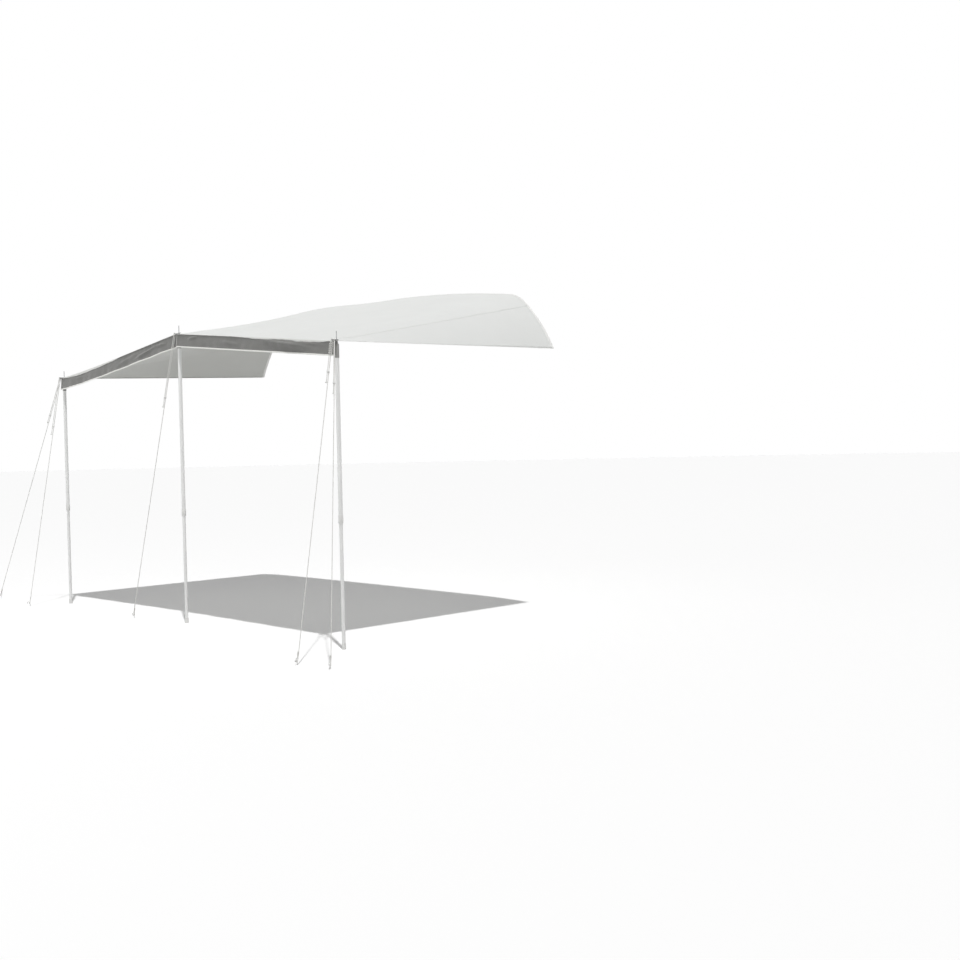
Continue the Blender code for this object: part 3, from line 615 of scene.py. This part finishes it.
def knot_route(centre, axis):
    """An overhand knot: one and a half turns that pass through themselves."""
    side = side_of(axis)
    other = axis.cross(side)
    route = []
    steps = 36
    for step in range(steps + 1):
        t = math.tau * step / steps * 0.98
        x = math.sin(t) + 2 * math.sin(2 * t)
        y = math.cos(t) - 2 * math.cos(2 * t)
        route.append(centre + (side * x + other * y) * KNOT_SIZE / 3
                     + axis * -math.sin(3 * t) * KNOT_SIZE * KNOT_DEPTH)
    return route


def splice_route(line):
    """Whipping thread wound round both strands above the peg."""
    middle = (line.neck + line.climb * EYE_LENGTH
              + line.across * (EYE_RADIUS - ROPE_RADIUS - GAP))
    other = line.climb.cross(line.across)
    route = []
    steps = 14
    count = SPLICE_TURNS * steps
    for step in range(count + 1):
        turn = math.tau * step / steps
        route.append(middle + line.climb * SPLICE_LENGTH * (0.1 + 0.8 * step / count)
                     + line.across * math.cos(turn) * (2 * ROPE_RADIUS + 0.001)
                     + other * math.sin(turn) * (ROPE_RADIUS + 0.0009))
    return route


def build_ropes(looks):
    for name in GUYS:
        line = guy_line(name)
        route = rope_route(name)
        rope = tube("rope_" + name, route, ROPE_RADIUS, looks["rope"])
        stand_in(rope, "rope", "guy_rope_" + name)
        knot = tube("knot_" + name, knot_route(route[0] - line.climb * KNOT_DROP, line.climb),
                    ROPE_RADIUS * KNOT_ROPE, looks["rope"])
        stand_in(knot, "rope")
        splice = tube("splice_" + name, splice_route(line), THREAD_RADIUS, looks["thread"], 6)
        stand_in(splice, "rope")
        build_peg(name, line, looks)


def build_peg(name, line, looks):
    """A bent steel peg with a ground point."""
    top = line.neck + line.stem * PEG_RISE
    point = top - line.stem * PEG_LENGTH
    path = [point] + [point + line.stem * rise for rise in (0.0025, 0.018, 0.022)]
    steps = 12
    path += [point.lerp(top, 0.2 + 0.8 * step / steps) for step in range(steps + 1)]
    steps = 14
    path += [top + (line.hook * (1 - math.cos(math.pi * k / steps))
                    + line.stem * math.sin(math.pi * k / steps)) * PEG_HOOK
             for k in range(1, steps + 1)]
    path += [path[-1] - line.stem * drop for drop in (0.003, 0.0055, 0.006)]
    radii = [0.2, 0.45, 0.96] + [1.0] * (len(path) - 4) + [0.8]
    peg = tube("ground_peg_" + name, path, PEG_RADIUS, looks["zinc"], 16, radii)
    stand_in(peg, "bright_steel", "peg_" + name)


def build_spare(looks):
    """Spare rope wound round both strands below the right plate's front lug."""
    line = guy_line("right_front")
    side = line.climb.cross(line.out)
    top = line.hole + line.out * TURN_RADIUS - line.climb * SPARE_START
    radius = TURN_RADIUS + 2 * (ROPE_RADIUS + GAP)
    route = []
    steps = 36
    for step in range(SPARE_TURNS * steps + 1):
        turn = step / steps
        angle = math.tau * turn
        route.append(top - line.climb * turn * SPARE_PITCH
                     + (line.out * math.cos(angle) + side * math.sin(angle)) * radius)
    spare = tube("spare_rope", route, ROPE_RADIUS, looks["rope"])
    stand_in(spare, "rope", "guy_spare_right")


# The roof's shape: straight lines of cloth from the front edge back to the rail

def rail_point(distance):
    """Place and height of the rail at a distance along it from its middle."""
    left = abs(distance)
    x = z = slope = 0.0
    for radius, end in RAIL_ARCS:
        turn = min(left / radius, end - slope)
        x += radius * (math.sin(slope + turn) - math.sin(slope))
        z -= radius * (math.cos(slope) - math.cos(slope + turn))
        left -= turn * radius
        slope += turn
    return math.copysign(x, distance), z


def front_height(x):
    corner = LEFT_HEIGHT if x < 0 else RIGHT_HEIGHT
    fall = (CENTRE_HEIGHT - corner) / (POLE_SPACING - CENTRE_FLAT)
    share = min(max(-x / POLE_SPACING, 0), 1)
    sag = EDGE_SAG * math.sin(math.pi * share ** 1.5)
    return GROUND_Z + CENTRE_HEIGHT - fall * max(abs(x) - CENTRE_FLAT, 0) - sag


def cloth_line(across):
    """Ends of one line of cloth: 0 is the middle, 1 the seam and 2 the side edge."""
    main = min(abs(across), 1)
    wing = max(abs(across) - 1, 0)
    front = main * (POLE_SPACING - SEAM_TOE) + wing * (SEAM_TOE + SIDE_INSET)
    back = main * SEAM_ON_RAIL + wing * (RAIL_HALF - SEAM_ON_RAIL)
    front = math.copysign(front, across)
    rail_x, rail_z = rail_point(math.copysign(back, across))
    return Vector((front, FRONT_Y, front_height(front))), Vector((rail_x, REAR_Y, rail_z))


def flat_point(across, back):
    start, end = cloth_line(across)
    return start.lerp(end, back)


def smoothstep(low, high, value):
    share = min(max((value - low) / (high - low), 0), 1)
    return share * share * (3 - 2 * share)


def pole_gap(x):
    """How far a place along the front edge is from the nearest pole."""
    return min(abs(x - pole) for pole in POLES.values())


def relief(across, back, point):
    """How far the cloth lies below its straight lines: sag, folds drawn in by the poles, billows
    and small swells."""
    free = math.sin(math.pi * back) ** 0.8 * (1 - (abs(across) / 2) ** 8)
    panel = 0.65 + 0.35 * math.sin(math.pi * min(abs(across), 1))
    low = SAG * free * panel
    for x in POLES.values():
        away = Vector((point.x - x, point.y + DEPTH))
        reach = away.length
        angle = math.atan2(away.y, away.x)
        strength = (smoothstep(0.05, 0.22, reach) * math.exp(-reach / DRAWN_REACH)
                    * smoothstep(0, 0.06, back))
        low += (DRAWN_HEIGHT * strength * math.sin(DRAWN_FOLDS * angle + 3 * x)
                * (1 - (abs(across) / 2) ** 6))
    for place, width, height in BILLOWS:
        low -= height * math.exp(-((back - place) / width) ** 2 - (across / BILLOW_SPREAD) ** 2)
    slow = noise.noise(Vector((point.x * 1.7, point.y * 0.9, 3.1)))
    quick = noise.noise(Vector((point.x * 6.5, point.y * 1.6, 7.7)))
    edge = (smoothstep(0, 0.05, back) * smoothstep(0, 0.05, 1 - back)
            * (1 - (abs(across) / 2) ** 10))
    return low + edge * (SLOW_SWELL * slow + QUICK_SWELL * quick)


def roof_point(across, back, lower=0.0):
    """A point of the roof's cloth, or that far below it."""
    point = flat_point(across, back)
    return point - UP * (relief(across, back, point) + lower)


def across_at(x, back):
    """Which line of cloth passes that x at that share of the way back."""
    low, high = -2.0, 2.0
    for _ in range(40):
        middle = (low + high) / 2
        if flat_point(middle, back).x < x:
            low = middle
        else:
            high = middle
    return low


EYELET_BACK = (-DEPTH - FRONT_Y) / (REAR_Y - FRONT_Y)
LEFT_EYELET = across_at(POLES["left"], EYELET_BACK)
RIGHT_EYELET = across_at(POLES["right"], EYELET_BACK)


def roof_stops():
    """Grid lines across and back, with three close together at each eyelet."""
    centre, wing = 150, 26
    across = [step / centre for step in range(-centre, centre + 1)]
    across += [sign * (1 + step / wing) for sign in (-1, 1) for step in range(1, wing + 1)]
    across = [stop for stop in across if abs(stop) > CENTRE_CLEAR]
    across += [-CENTRE_STOP, 0.0, CENTRE_STOP]
    half = HOLE_RADIUS / (SEAM_TOE + SIDE_INSET)
    for mark in (LEFT_EYELET, RIGHT_EYELET):
        across = [stop for stop in across if abs(stop - mark) > HOLE_CLEAR * half]
        across += [mark - half, mark, mark + half]
    half = HOLE_RADIUS / (REAR_Y - FRONT_Y)
    backs = [step / 300 for step in range(24)] + [0.08 + 0.92 * step / 150 for step in range(151)]
    backs = [stop for stop in backs if abs(stop - EYELET_BACK) > HOLE_CLEAR * half]
    backs += [EYELET_BACK - half, EYELET_BACK, EYELET_BACK + half]
    return sorted(across), sorted(backs)


def build_roof(looks):
    """One sheet of cloth over the whole roof, with a hole for each eyelet."""
    stops, backs = roof_stops()
    rows = [[roof_point(across, back) for across in stops] for back in backs]
    middle_row = backs.index(EYELET_BACK)
    for mark in (LEFT_EYELET, 0.0, RIGHT_EYELET):
        column = stops.index(mark)
        centre = rows[middle_row][column].copy()
        for i in (-1, 0, 1):
            for j in (-1, 0, 1):
                point = rows[middle_row + i][column + j]
                way = Vector((j, i, 0))
                if way.length:
                    spot = centre + way.normalized() * HOLE_RADIUS
                    point.x, point.y = spot.x, spot.y
        rows[middle_row][column] = None
    roof = put("roof_cloth", grid_mesh("roof_cloth", rows), looks["roof"], looks["under"])
    # The lower face takes the darker 'under' material: painted shade under the roof
    thicken(roof, CLOTH, -1, 1)
    return stand_in(roof, "roof_cloth", "roof_panel", "side_panel_left", "side_panel_right")


def build_seams(looks):
    """Lapped seams between the wide panel and the side panels, each with two rows of stitches."""
    made = []
    lines = []
    count = 160
    for side, sign in (("left", -1), ("right", 1)):
        rows = []
        rails = [[], []]
        for back in (step / count for step in range(count + 1)):
            row = []
            for k, lift in SEAM_OUTLINE:
                at = across_at(flat_point(sign, back).x + SEAM_HALF * k, back)
                row.append(roof_point(at, back, -lift))
            rows.append(row)
            rails[0].append(row[1].lerp(row[2], 0.35) + UP * 0.0003)
            rails[1].append(row[3].lerp(row[2], 0.35) + UP * 0.0003)
        name = "roof_seam_" + side
        seam = put(name, grid_mesh(name, rows), looks["roof"])
        thicken(seam, SEAM_CLOTH, -1)
        made.append(stand_in(seam, "roof_cloth"))
        lines += [(rail, [UP] * len(rail)) for rail in rails]
    made.append(stand_in(stitches("roof_stitching", lines, looks["thread"]), "piping_cloth"))
    return made


def hem_reach(x):
    for (start, low), (end, high) in zip(HEM_STOPS, HEM_STOPS[1:]):
        if x <= end:
            return low + (high - low) * smoothstep(start, end, x)
    return HEM_STOPS[-1][1]


def build_front_hem(looks):
    """The roof's cloth rolled over its front edge, drawn down by the valance sewn to it."""
    rows = []
    half, count = POLE_SPACING + SIDE_INSET, 800
    for step in range(count + 1):
        x = -half + 2 * half * step / count
        sign = math.copysign(1, x)
        pucker = noise.noise(Vector((x * 22, 0.4, 1.3)))
        reach = hem_reach(x) * (1 + HEM_PUCKER * smoothstep(0.03, 0.16, pole_gap(x)) * pucker)
        row = []
        for back, lift in HEM_OUTLINE:
            y = FRONT_Y + back
            if lift < 0:
                lift *= reach / HEM_FALL
                drop = max(0, (-lift - VALANCE_TOP) / VALANCE_HEIGHT)
                y = min(y, valance_point(x, sign, drop).y - 0.0013)
            row.append(Vector((x, y, front_height(x) + lift)))
        rows.append(row)
    hem = put("front_hem", grid_mesh("front_hem", rows), looks["hem"])
    thicken(hem, HEM_CLOTH)
    thread = [row[6] + AHEAD * 0.0005 for row in rows]
    sewn = stitches("front_stitching", [(thread, [AHEAD] * len(thread))], looks["thread"])
    return [stand_in(hem, "roof_cloth"), stand_in(sewn, "piping_cloth")]


def build_side_hems(looks):
    """Binding folded round each free side edge."""
    count = 150
    for side, sign in (("left", -1), ("right", 1)):
        front, back = cloth_line(2 * sign)
        inside, _ = cloth_line(1.9 * sign)
        normal = (back - front).cross(front - inside).normalized()
        normal *= math.copysign(1, normal.z)
        out = (back - front).cross(normal).normalized()
        out *= math.copysign(1, sign * out.x)
        rows = []
        for share in (step / count for step in range(count + 1)):
            centre = front.lerp(back, share) - normal * CLOTH / 2
            swell = 1 + BINDING_SWELL * noise.noise(Vector((share * 40, 2.0 * sign, 0.5)))
            rows.append([centre + out * reach + normal * lift * swell
                         for reach, lift in SIDE_OUTLINE])
        name = "side_binding_" + side
        hem = put(name, grid_mesh(name, rows), looks["hem"])
        thicken(hem, BINDING_CLOTH)
        stand_in(hem, "piping_cloth", "side_hem_" + side)
        lines = []
        for column, way in ((2, normal), (7, -normal)):
            lines.append(([row[column] + way * 0.0002 for row in rows], [way] * len(rows)))
        sewn = stitches("side_stitching_" + side, lines, looks["thread"])
        stand_in(sewn, "piping_cloth")


def build_keder(looks):
    """The flange along the rail with its rows of stitches, and the bead."""
    count = 420
    path = [rail_point(-RAIL_HALF + 2 * RAIL_HALF * step / count) for step in range(count + 1)]
    depths = (REAR_Y - 0.004, REAR_Y, -0.012, -0.0062, -0.0034)
    rows = [[Vector((x, y, z - (0.0012 if y < REAR_Y else 0.0))) for x, z in path]
            for y in depths]
    flange = put("rail_flange", grid_mesh("rail_flange", rows), looks["flange"])
    thicken(flange, WEB_CLOTH)
    stand_in(flange, "webbing", "keder_flange")
    bead = tube("rail_bead", [Vector((x, 0, z)) for x, z in path], BEAD_RADIUS, looks["bead"], 16)
    stand_in(bead, "keder_plastic", "keder_bead")
    lines = []
    for y in (-0.0155, -0.0100):
        points = [Vector((x, y, z + 0.0005)) for x, z in path]
        normals = []
        for a, b in zip(points, points[1:] + points[-1:]):
            way = (b - a).normalized() if (b - a).length else Vector((1, 0, 0))
            normals.append(Vector((-way.z, 0, way.x)))
        lines.append((points, normals))
    sewn = stitches("rail_stitching", lines, looks["thread"])
    stand_in(sewn, "piping_cloth")


def build_patches(looks):
    """Web patches under the roof at each pole, with trimmed corners and a hole."""
    start, end = PATCH_BACKS
    count = PATCH_STEPS
    for side, x in POLES.items():
        if side == "centre":
            reach = PATCH_HALF / (POLE_SPACING - SEAM_TOE)
            low, high = -reach, reach
        else:
            low, high = sorted(math.copysign(wing, x) for wing in PATCH_WINGS)
        rows = []
        hole = Vector((x, -DEPTH, 0))
        for i in range(count + 1):
            row = []
            for j in range(count + 1):
                u, v = 2 * j / count - 1, 2 * i / count - 1
                trim = max(0, abs(u) + abs(v) - PATCH_TRIM) / 2
                u -= math.copysign(trim, u)
                v -= math.copysign(trim, v)
                point = roof_point((low + high) / 2 + (high - low) / 2 * u,
                                   (start + end) / 2 + (end - start) / 2 * v, PATCH_DROP)
                away = Vector((point.x - hole.x, point.y - hole.y, 0))
                if away.length < PATCH_HOLE:
                    away = away.normalized() if away.length else Vector((1, 0, 0))
                    point.x = hole.x + away.x * PATCH_HOLE
                    point.y = hole.y + away.y * PATCH_HOLE
                row.append(point)
            rows.append(row)
        name = "reinforcement_" + side
        data = grid_mesh(name, rows)
        bm = bmesh.new()
        bm.from_mesh(data)
        inside = [face for face in bm.faces
                  if (Vector(face.calc_center_median()[:2]) - hole.to_2d()).length < PATCH_OPEN]
        bmesh.ops.delete(bm, geom=inside, context="FACES")
        bmesh.ops.dissolve_degenerate(bm, dist=0.00005, edges=bm.edges)
        bm.to_mesh(data)
        bm.free()
        patch = put(name, data, looks["web"])
        thicken(patch, WEB_CLOTH)
        stand_in(patch, "webbing", "corner_patch_" + side)


# Valance

def creased(x, depth):
    """How far the drag folds stand out: each is steep on its upper side, where it catches the
    light."""
    total = 0.0
    for start, high, end, low, width, height in CREASES:
        along = Vector((end - start, low - high))
        spot = Vector((x - start, depth - high))
        share = spot.dot(along) / along.length_squared
        if 0 < share < 1:
            below = (spot.y * along.x - spot.x * along.y) / along.length
            spread = width * (1 if below < 0 else CREASE_BELOW)
            ripple = 1 + 0.2 * noise.noise(Vector((x * 11, high * 90, 2.2)))
            total += (height * ripple * math.sin(math.pi * share) ** 1.3
                      * math.exp(-(below / spread) ** 2))
    return total


def valance_point(x, sign, drop):
    """Folds that open towards the lower edge, drag folds, and small puckers under the seam; a
    drop of 0 is the upper edge and 1 the lower."""
    share = (x - VALANCE_START * sign) / (sign * VALANCE_LENGTH)
    loose = smoothstep(0.02, 0.14, pole_gap(x))
    fold = FOLD_DEPTH * (1 - math.cos(math.tau * FOLD_COUNT * share)) / 2
    out = (VALANCE_LEAN + fold) * drop
    drift = 2.2 * noise.noise(Vector((x * 3, 1.7, 0)))
    fine = FINE_DEPTH * drop * math.sin(math.tau * FINE_COUNT * share + drift)
    pucker = (PUCKER_DEPTH * math.sin(math.pi * min(drop * 1.5, 1))
              * noise.noise(Vector((x * 28, drop * 2.5, 4.2))))
    sway = (SWAY_DEPTH * noise.noise(Vector((x * 9 + drop * 1.6, drop * 1.2, 9.1)))
            * math.sin(math.pi * drop))
    hang = 1.0
    if sign < 0:
        hang += (END_HANG * smoothstep(0.0, 0.16, POLE_SPACING + SIDE_INSET - abs(x))
                 + MIDDLE_HANG * math.exp(x / 0.3))
    depth = drop * VALANCE_HEIGHT * hang
    y = FRONT_Y + 0.001 - out + loose * (fine + pucker + sway) - loose * creased(x, depth)
    if drop < 0:
        y -= SEAM_TUCK * min(-drop / 0.015, 1)
    top = front_height(x) - VALANCE_TOP
    lift = EDGE_WANDER * loose * noise.noise(Vector((x * 5, 6.3, 0))) * drop
    return Vector((x, y, top - depth + lift))


def piping_rows(edge):
    """Binding folded over the valance's lower edge, round a cord just below it."""
    flange, proud, radius = 0.0050, 0.0011, PIPING_RADIUS - 0.0001
    outline = [(-proud, flange), (-proud, flange / 2), (-proud, 0.0002)]
    for step in range(15):
        angle = math.radians(135 + 270 * step / 14)
        outline.append((radius * math.cos(angle), -radius - GAP + radius * math.sin(angle)))
    outline += [(proud, 0.0002), (proud, flange / 2), (proud, flange)]
    return [[point + Vector((0, out, lift)) for point in edge] for out, lift in outline]


def build_valance(looks):
    count = 420
    for side, sign in (("left", -1), ("right", 1)):
        xs = [sign * (VALANCE_START + VALANCE_LENGTH * step / count) for step in range(count + 1)]
        drops = [-0.02, -0.012] + [step / 36 for step in range(37)]
        rows = [[valance_point(x, sign, drop) for x in xs] for drop in drops]
        name = "valance_cloth_" + side
        cloth = put(name, grid_mesh(name, rows), looks["valance"])
        thicken(cloth, VALANCE_CLOTH)
        stand_in(cloth, "valance_cloth", "valance_" + side)
        name = "piping_" + side
        piping = put(name, grid_mesh(name, piping_rows(rows[-1])), looks["piping"])
        thicken(piping, PIPING_CLOTH)
        stand_in(piping, "piping_cloth", "valance_piping_" + side)
        band = [[valance_point(x, sign, drop) + AHEAD * proud for x in xs]
                for drop, proud in ((0.86, 0.0003), (0.87, 0.0009), (0.94, 0.0009),
                                    (0.945, 0.0003))]
        name = "valance_hem_" + side
        hem = put(name, grid_mesh(name, band), looks["valance"])
        thicken(hem, BAND_CLOTH)
        stand_in(hem, "valance_cloth")
        thread = [valance_point(x, sign, 0.89) + AHEAD * 0.0011 for x in xs]
        sewn = stitches("valance_stitching_" + side, [(thread, [AHEAD] * len(thread))],
                        looks["dark_thread"])
        stand_in(sewn, "valance_cloth")


# The solids that stay

def smooth_faces():
    """Geometry nodes that shade faces smooth, and keep edges sharp where they turn by more."""
    group = bpy.data.node_groups.new("smooth_faces", "GeometryNodeTree")
    for direction in ("INPUT", "OUTPUT"):
        group.interface.new_socket("Geometry", in_out=direction,
                                   socket_type="NodeSocketGeometry")
    start, end = group.nodes.new("NodeGroupInput"), group.nodes.new("NodeGroupOutput")
    weld = group.nodes.new("GeometryNodeMergeByDistance")
    weld.inputs["Distance"].default_value = WELD_REACH
    rounded = group.nodes.new("GeometryNodeSetShadeSmooth")
    rounded.domain = "FACE"
    angle = group.nodes.new("GeometryNodeInputMeshEdgeAngle")
    corner = group.nodes.new("FunctionNodeCompare")
    corner.data_type, corner.operation = "FLOAT", "GREATER_THAN"
    corner.inputs["B"].default_value = SHARP_ANGLE
    kept = group.nodes.new("GeometryNodeSetShadeSmooth")
    kept.domain = "EDGE"
    kept.inputs["Shade Smooth"].default_value = False
    for a, b in ((start.outputs[0], weld.inputs["Geometry"]),
                 (weld.outputs[0], rounded.inputs["Geometry"]),
                 (rounded.outputs[0], kept.inputs["Geometry"]),
                 (angle.outputs["Unsigned Angle"], corner.inputs["A"]),
                 (corner.outputs[0], kept.inputs["Selection"]),
                 (kept.outputs[0], end.inputs[0])):
        group.links.new(a, b)
    return group


def finish_nodes(looks):
    """Give each solid that stays its material and smooth faces, and soften moulded edges."""
    smoothing = smooth_faces()
    for name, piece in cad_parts.items():
        if piece.hide_render:
            continue
        look = next(look for start, look in NODE_LOOKS.items() if name.startswith(start))
        piece.data.materials.clear()
        piece.data.materials.append(looks[look])
        if look in MOULDED_LOOKS:
            weld = piece.modifiers.new("weld", "WELD")
            weld.merge_threshold = WELD_REACH
            bevel = piece.modifiers.new("bevel", "BEVEL")
            bevel.width = EDGE_BEVEL
            bevel.segments = 2
            bevel.limit_method = "ANGLE"
            bevel.angle_limit = SHARP_ANGLE
        rounding = piece.modifiers.new("rounding", "NODES")
        rounding.node_group = smoothing


# The plain floor and the light

def seen_by(tree, *rays):
    """1 for any of these kinds of ray, and 0 for others."""
    path = tree.nodes.new("ShaderNodeLightPath")
    found = path.outputs[rays[0]]
    for ray in rays[1:]:
        either = tree.nodes.new("ShaderNodeMath")
        either.operation = "MAXIMUM"
        tree.links.new(found, either.inputs[0])
        tree.links.new(path.outputs[ray], either.inputs[1])
        found = either.outputs[0]
    return found


def build_floor():
    floor = bpy.data.meshes.new("floor")
    bm = bmesh.new()
    bmesh.ops.create_circle(bm, cap_ends=True, radius=FLOOR_SIZE, segments=96)
    bmesh.ops.translate(bm, vec=(0, 0, GROUND_Z), verts=bm.verts)
    bm.to_mesh(floor)
    bm.free()
    made = bpy.data.materials.new("floor_white")
    made.use_nodes = True
    tree = made.node_tree
    shader = tree.nodes["Principled BSDF"]
    shader.inputs["Base Color"].default_value = (FLOOR_TONE, FLOOR_TONE, FLOOR_TONE, 1)
    shader.inputs["Roughness"].default_value = 1.0
    shader.inputs["Specular IOR Level"].default_value = 0.0
    glow = tree.nodes.new("ShaderNodeMath")
    glow.operation = "MULTIPLY"
    tree.links.new(seen_by(tree, "Is Camera Ray", "Is Transmission Ray"), glow.inputs[0])
    glow.inputs[1].default_value = FLOOR_GLOW
    shader.inputs["Emission Color"].default_value = (1, 1, 1, 1)
    tree.links.new(glow.outputs[0], shader.inputs["Emission Strength"])
    stage = put("floor", floor, made)


def build_world():
    world = bpy.data.worlds.new("world")
    bpy.context.scene.world = world
    world.use_nodes = True
    tree = world.node_tree
    background = tree.nodes["Background"]
    seen = seen_by(tree, "Is Camera Ray", "Is Glossy Ray", "Is Transmission Ray")
    strength = tree.nodes.new("ShaderNodeMapRange")
    strength.inputs["To Min"].default_value = SKY
    strength.inputs["To Max"].default_value = 1.0
    tree.links.new(seen, strength.inputs["Value"])
    tree.links.new(strength.outputs[0], background.inputs["Strength"])
    background.inputs["Color"].default_value = (1, 1, 1, 1)


def add_lamp(name, kind, energy, back):
    """A lamp that shines away from that direction."""
    data = bpy.data.lights.new(name, kind)
    data.energy = energy
    lamp = bpy.data.objects.new(name, data)
    bpy.context.scene.collection.objects.link(lamp)
    lamp.rotation_euler = back.to_track_quat("Z", "Y").to_euler()
    return lamp


def build_lamps():
    sun = add_lamp("sun", "SUN", SUN * math.pi, SUN_WAY)
    sun.data.angle = SUN_DISC
    fill = add_lamp("fill", "AREA", FILL, FILL_SPOT - FILL_AIM)
    fill.location = FILL_SPOT
    fill.data.shape = "DISK"
    fill.data.size = FILL_SIZE


build_camera()
looks = finishes()
build_ropes(looks)
build_spare(looks)
roof = build_roof(looks)
on_roof = build_seams(looks) + build_front_hem(looks)
build_side_hems(looks)
build_keder(looks)
build_patches(looks)
build_valance(looks)
finish_nodes(looks)
on_roof += [bpy.data.objects[name] for name in (
    "side_binding_left", "side_binding_right", "side_stitching_left", "side_stitching_right",
    "rail_flange", "rail_bead", "rail_stitching", "reinforcement_left", "reinforcement_centre",
    "reinforcement_right")]
build_floor()
build_world()
build_lamps()

scene = bpy.context.scene
scene.view_settings.view_transform = "Standard"
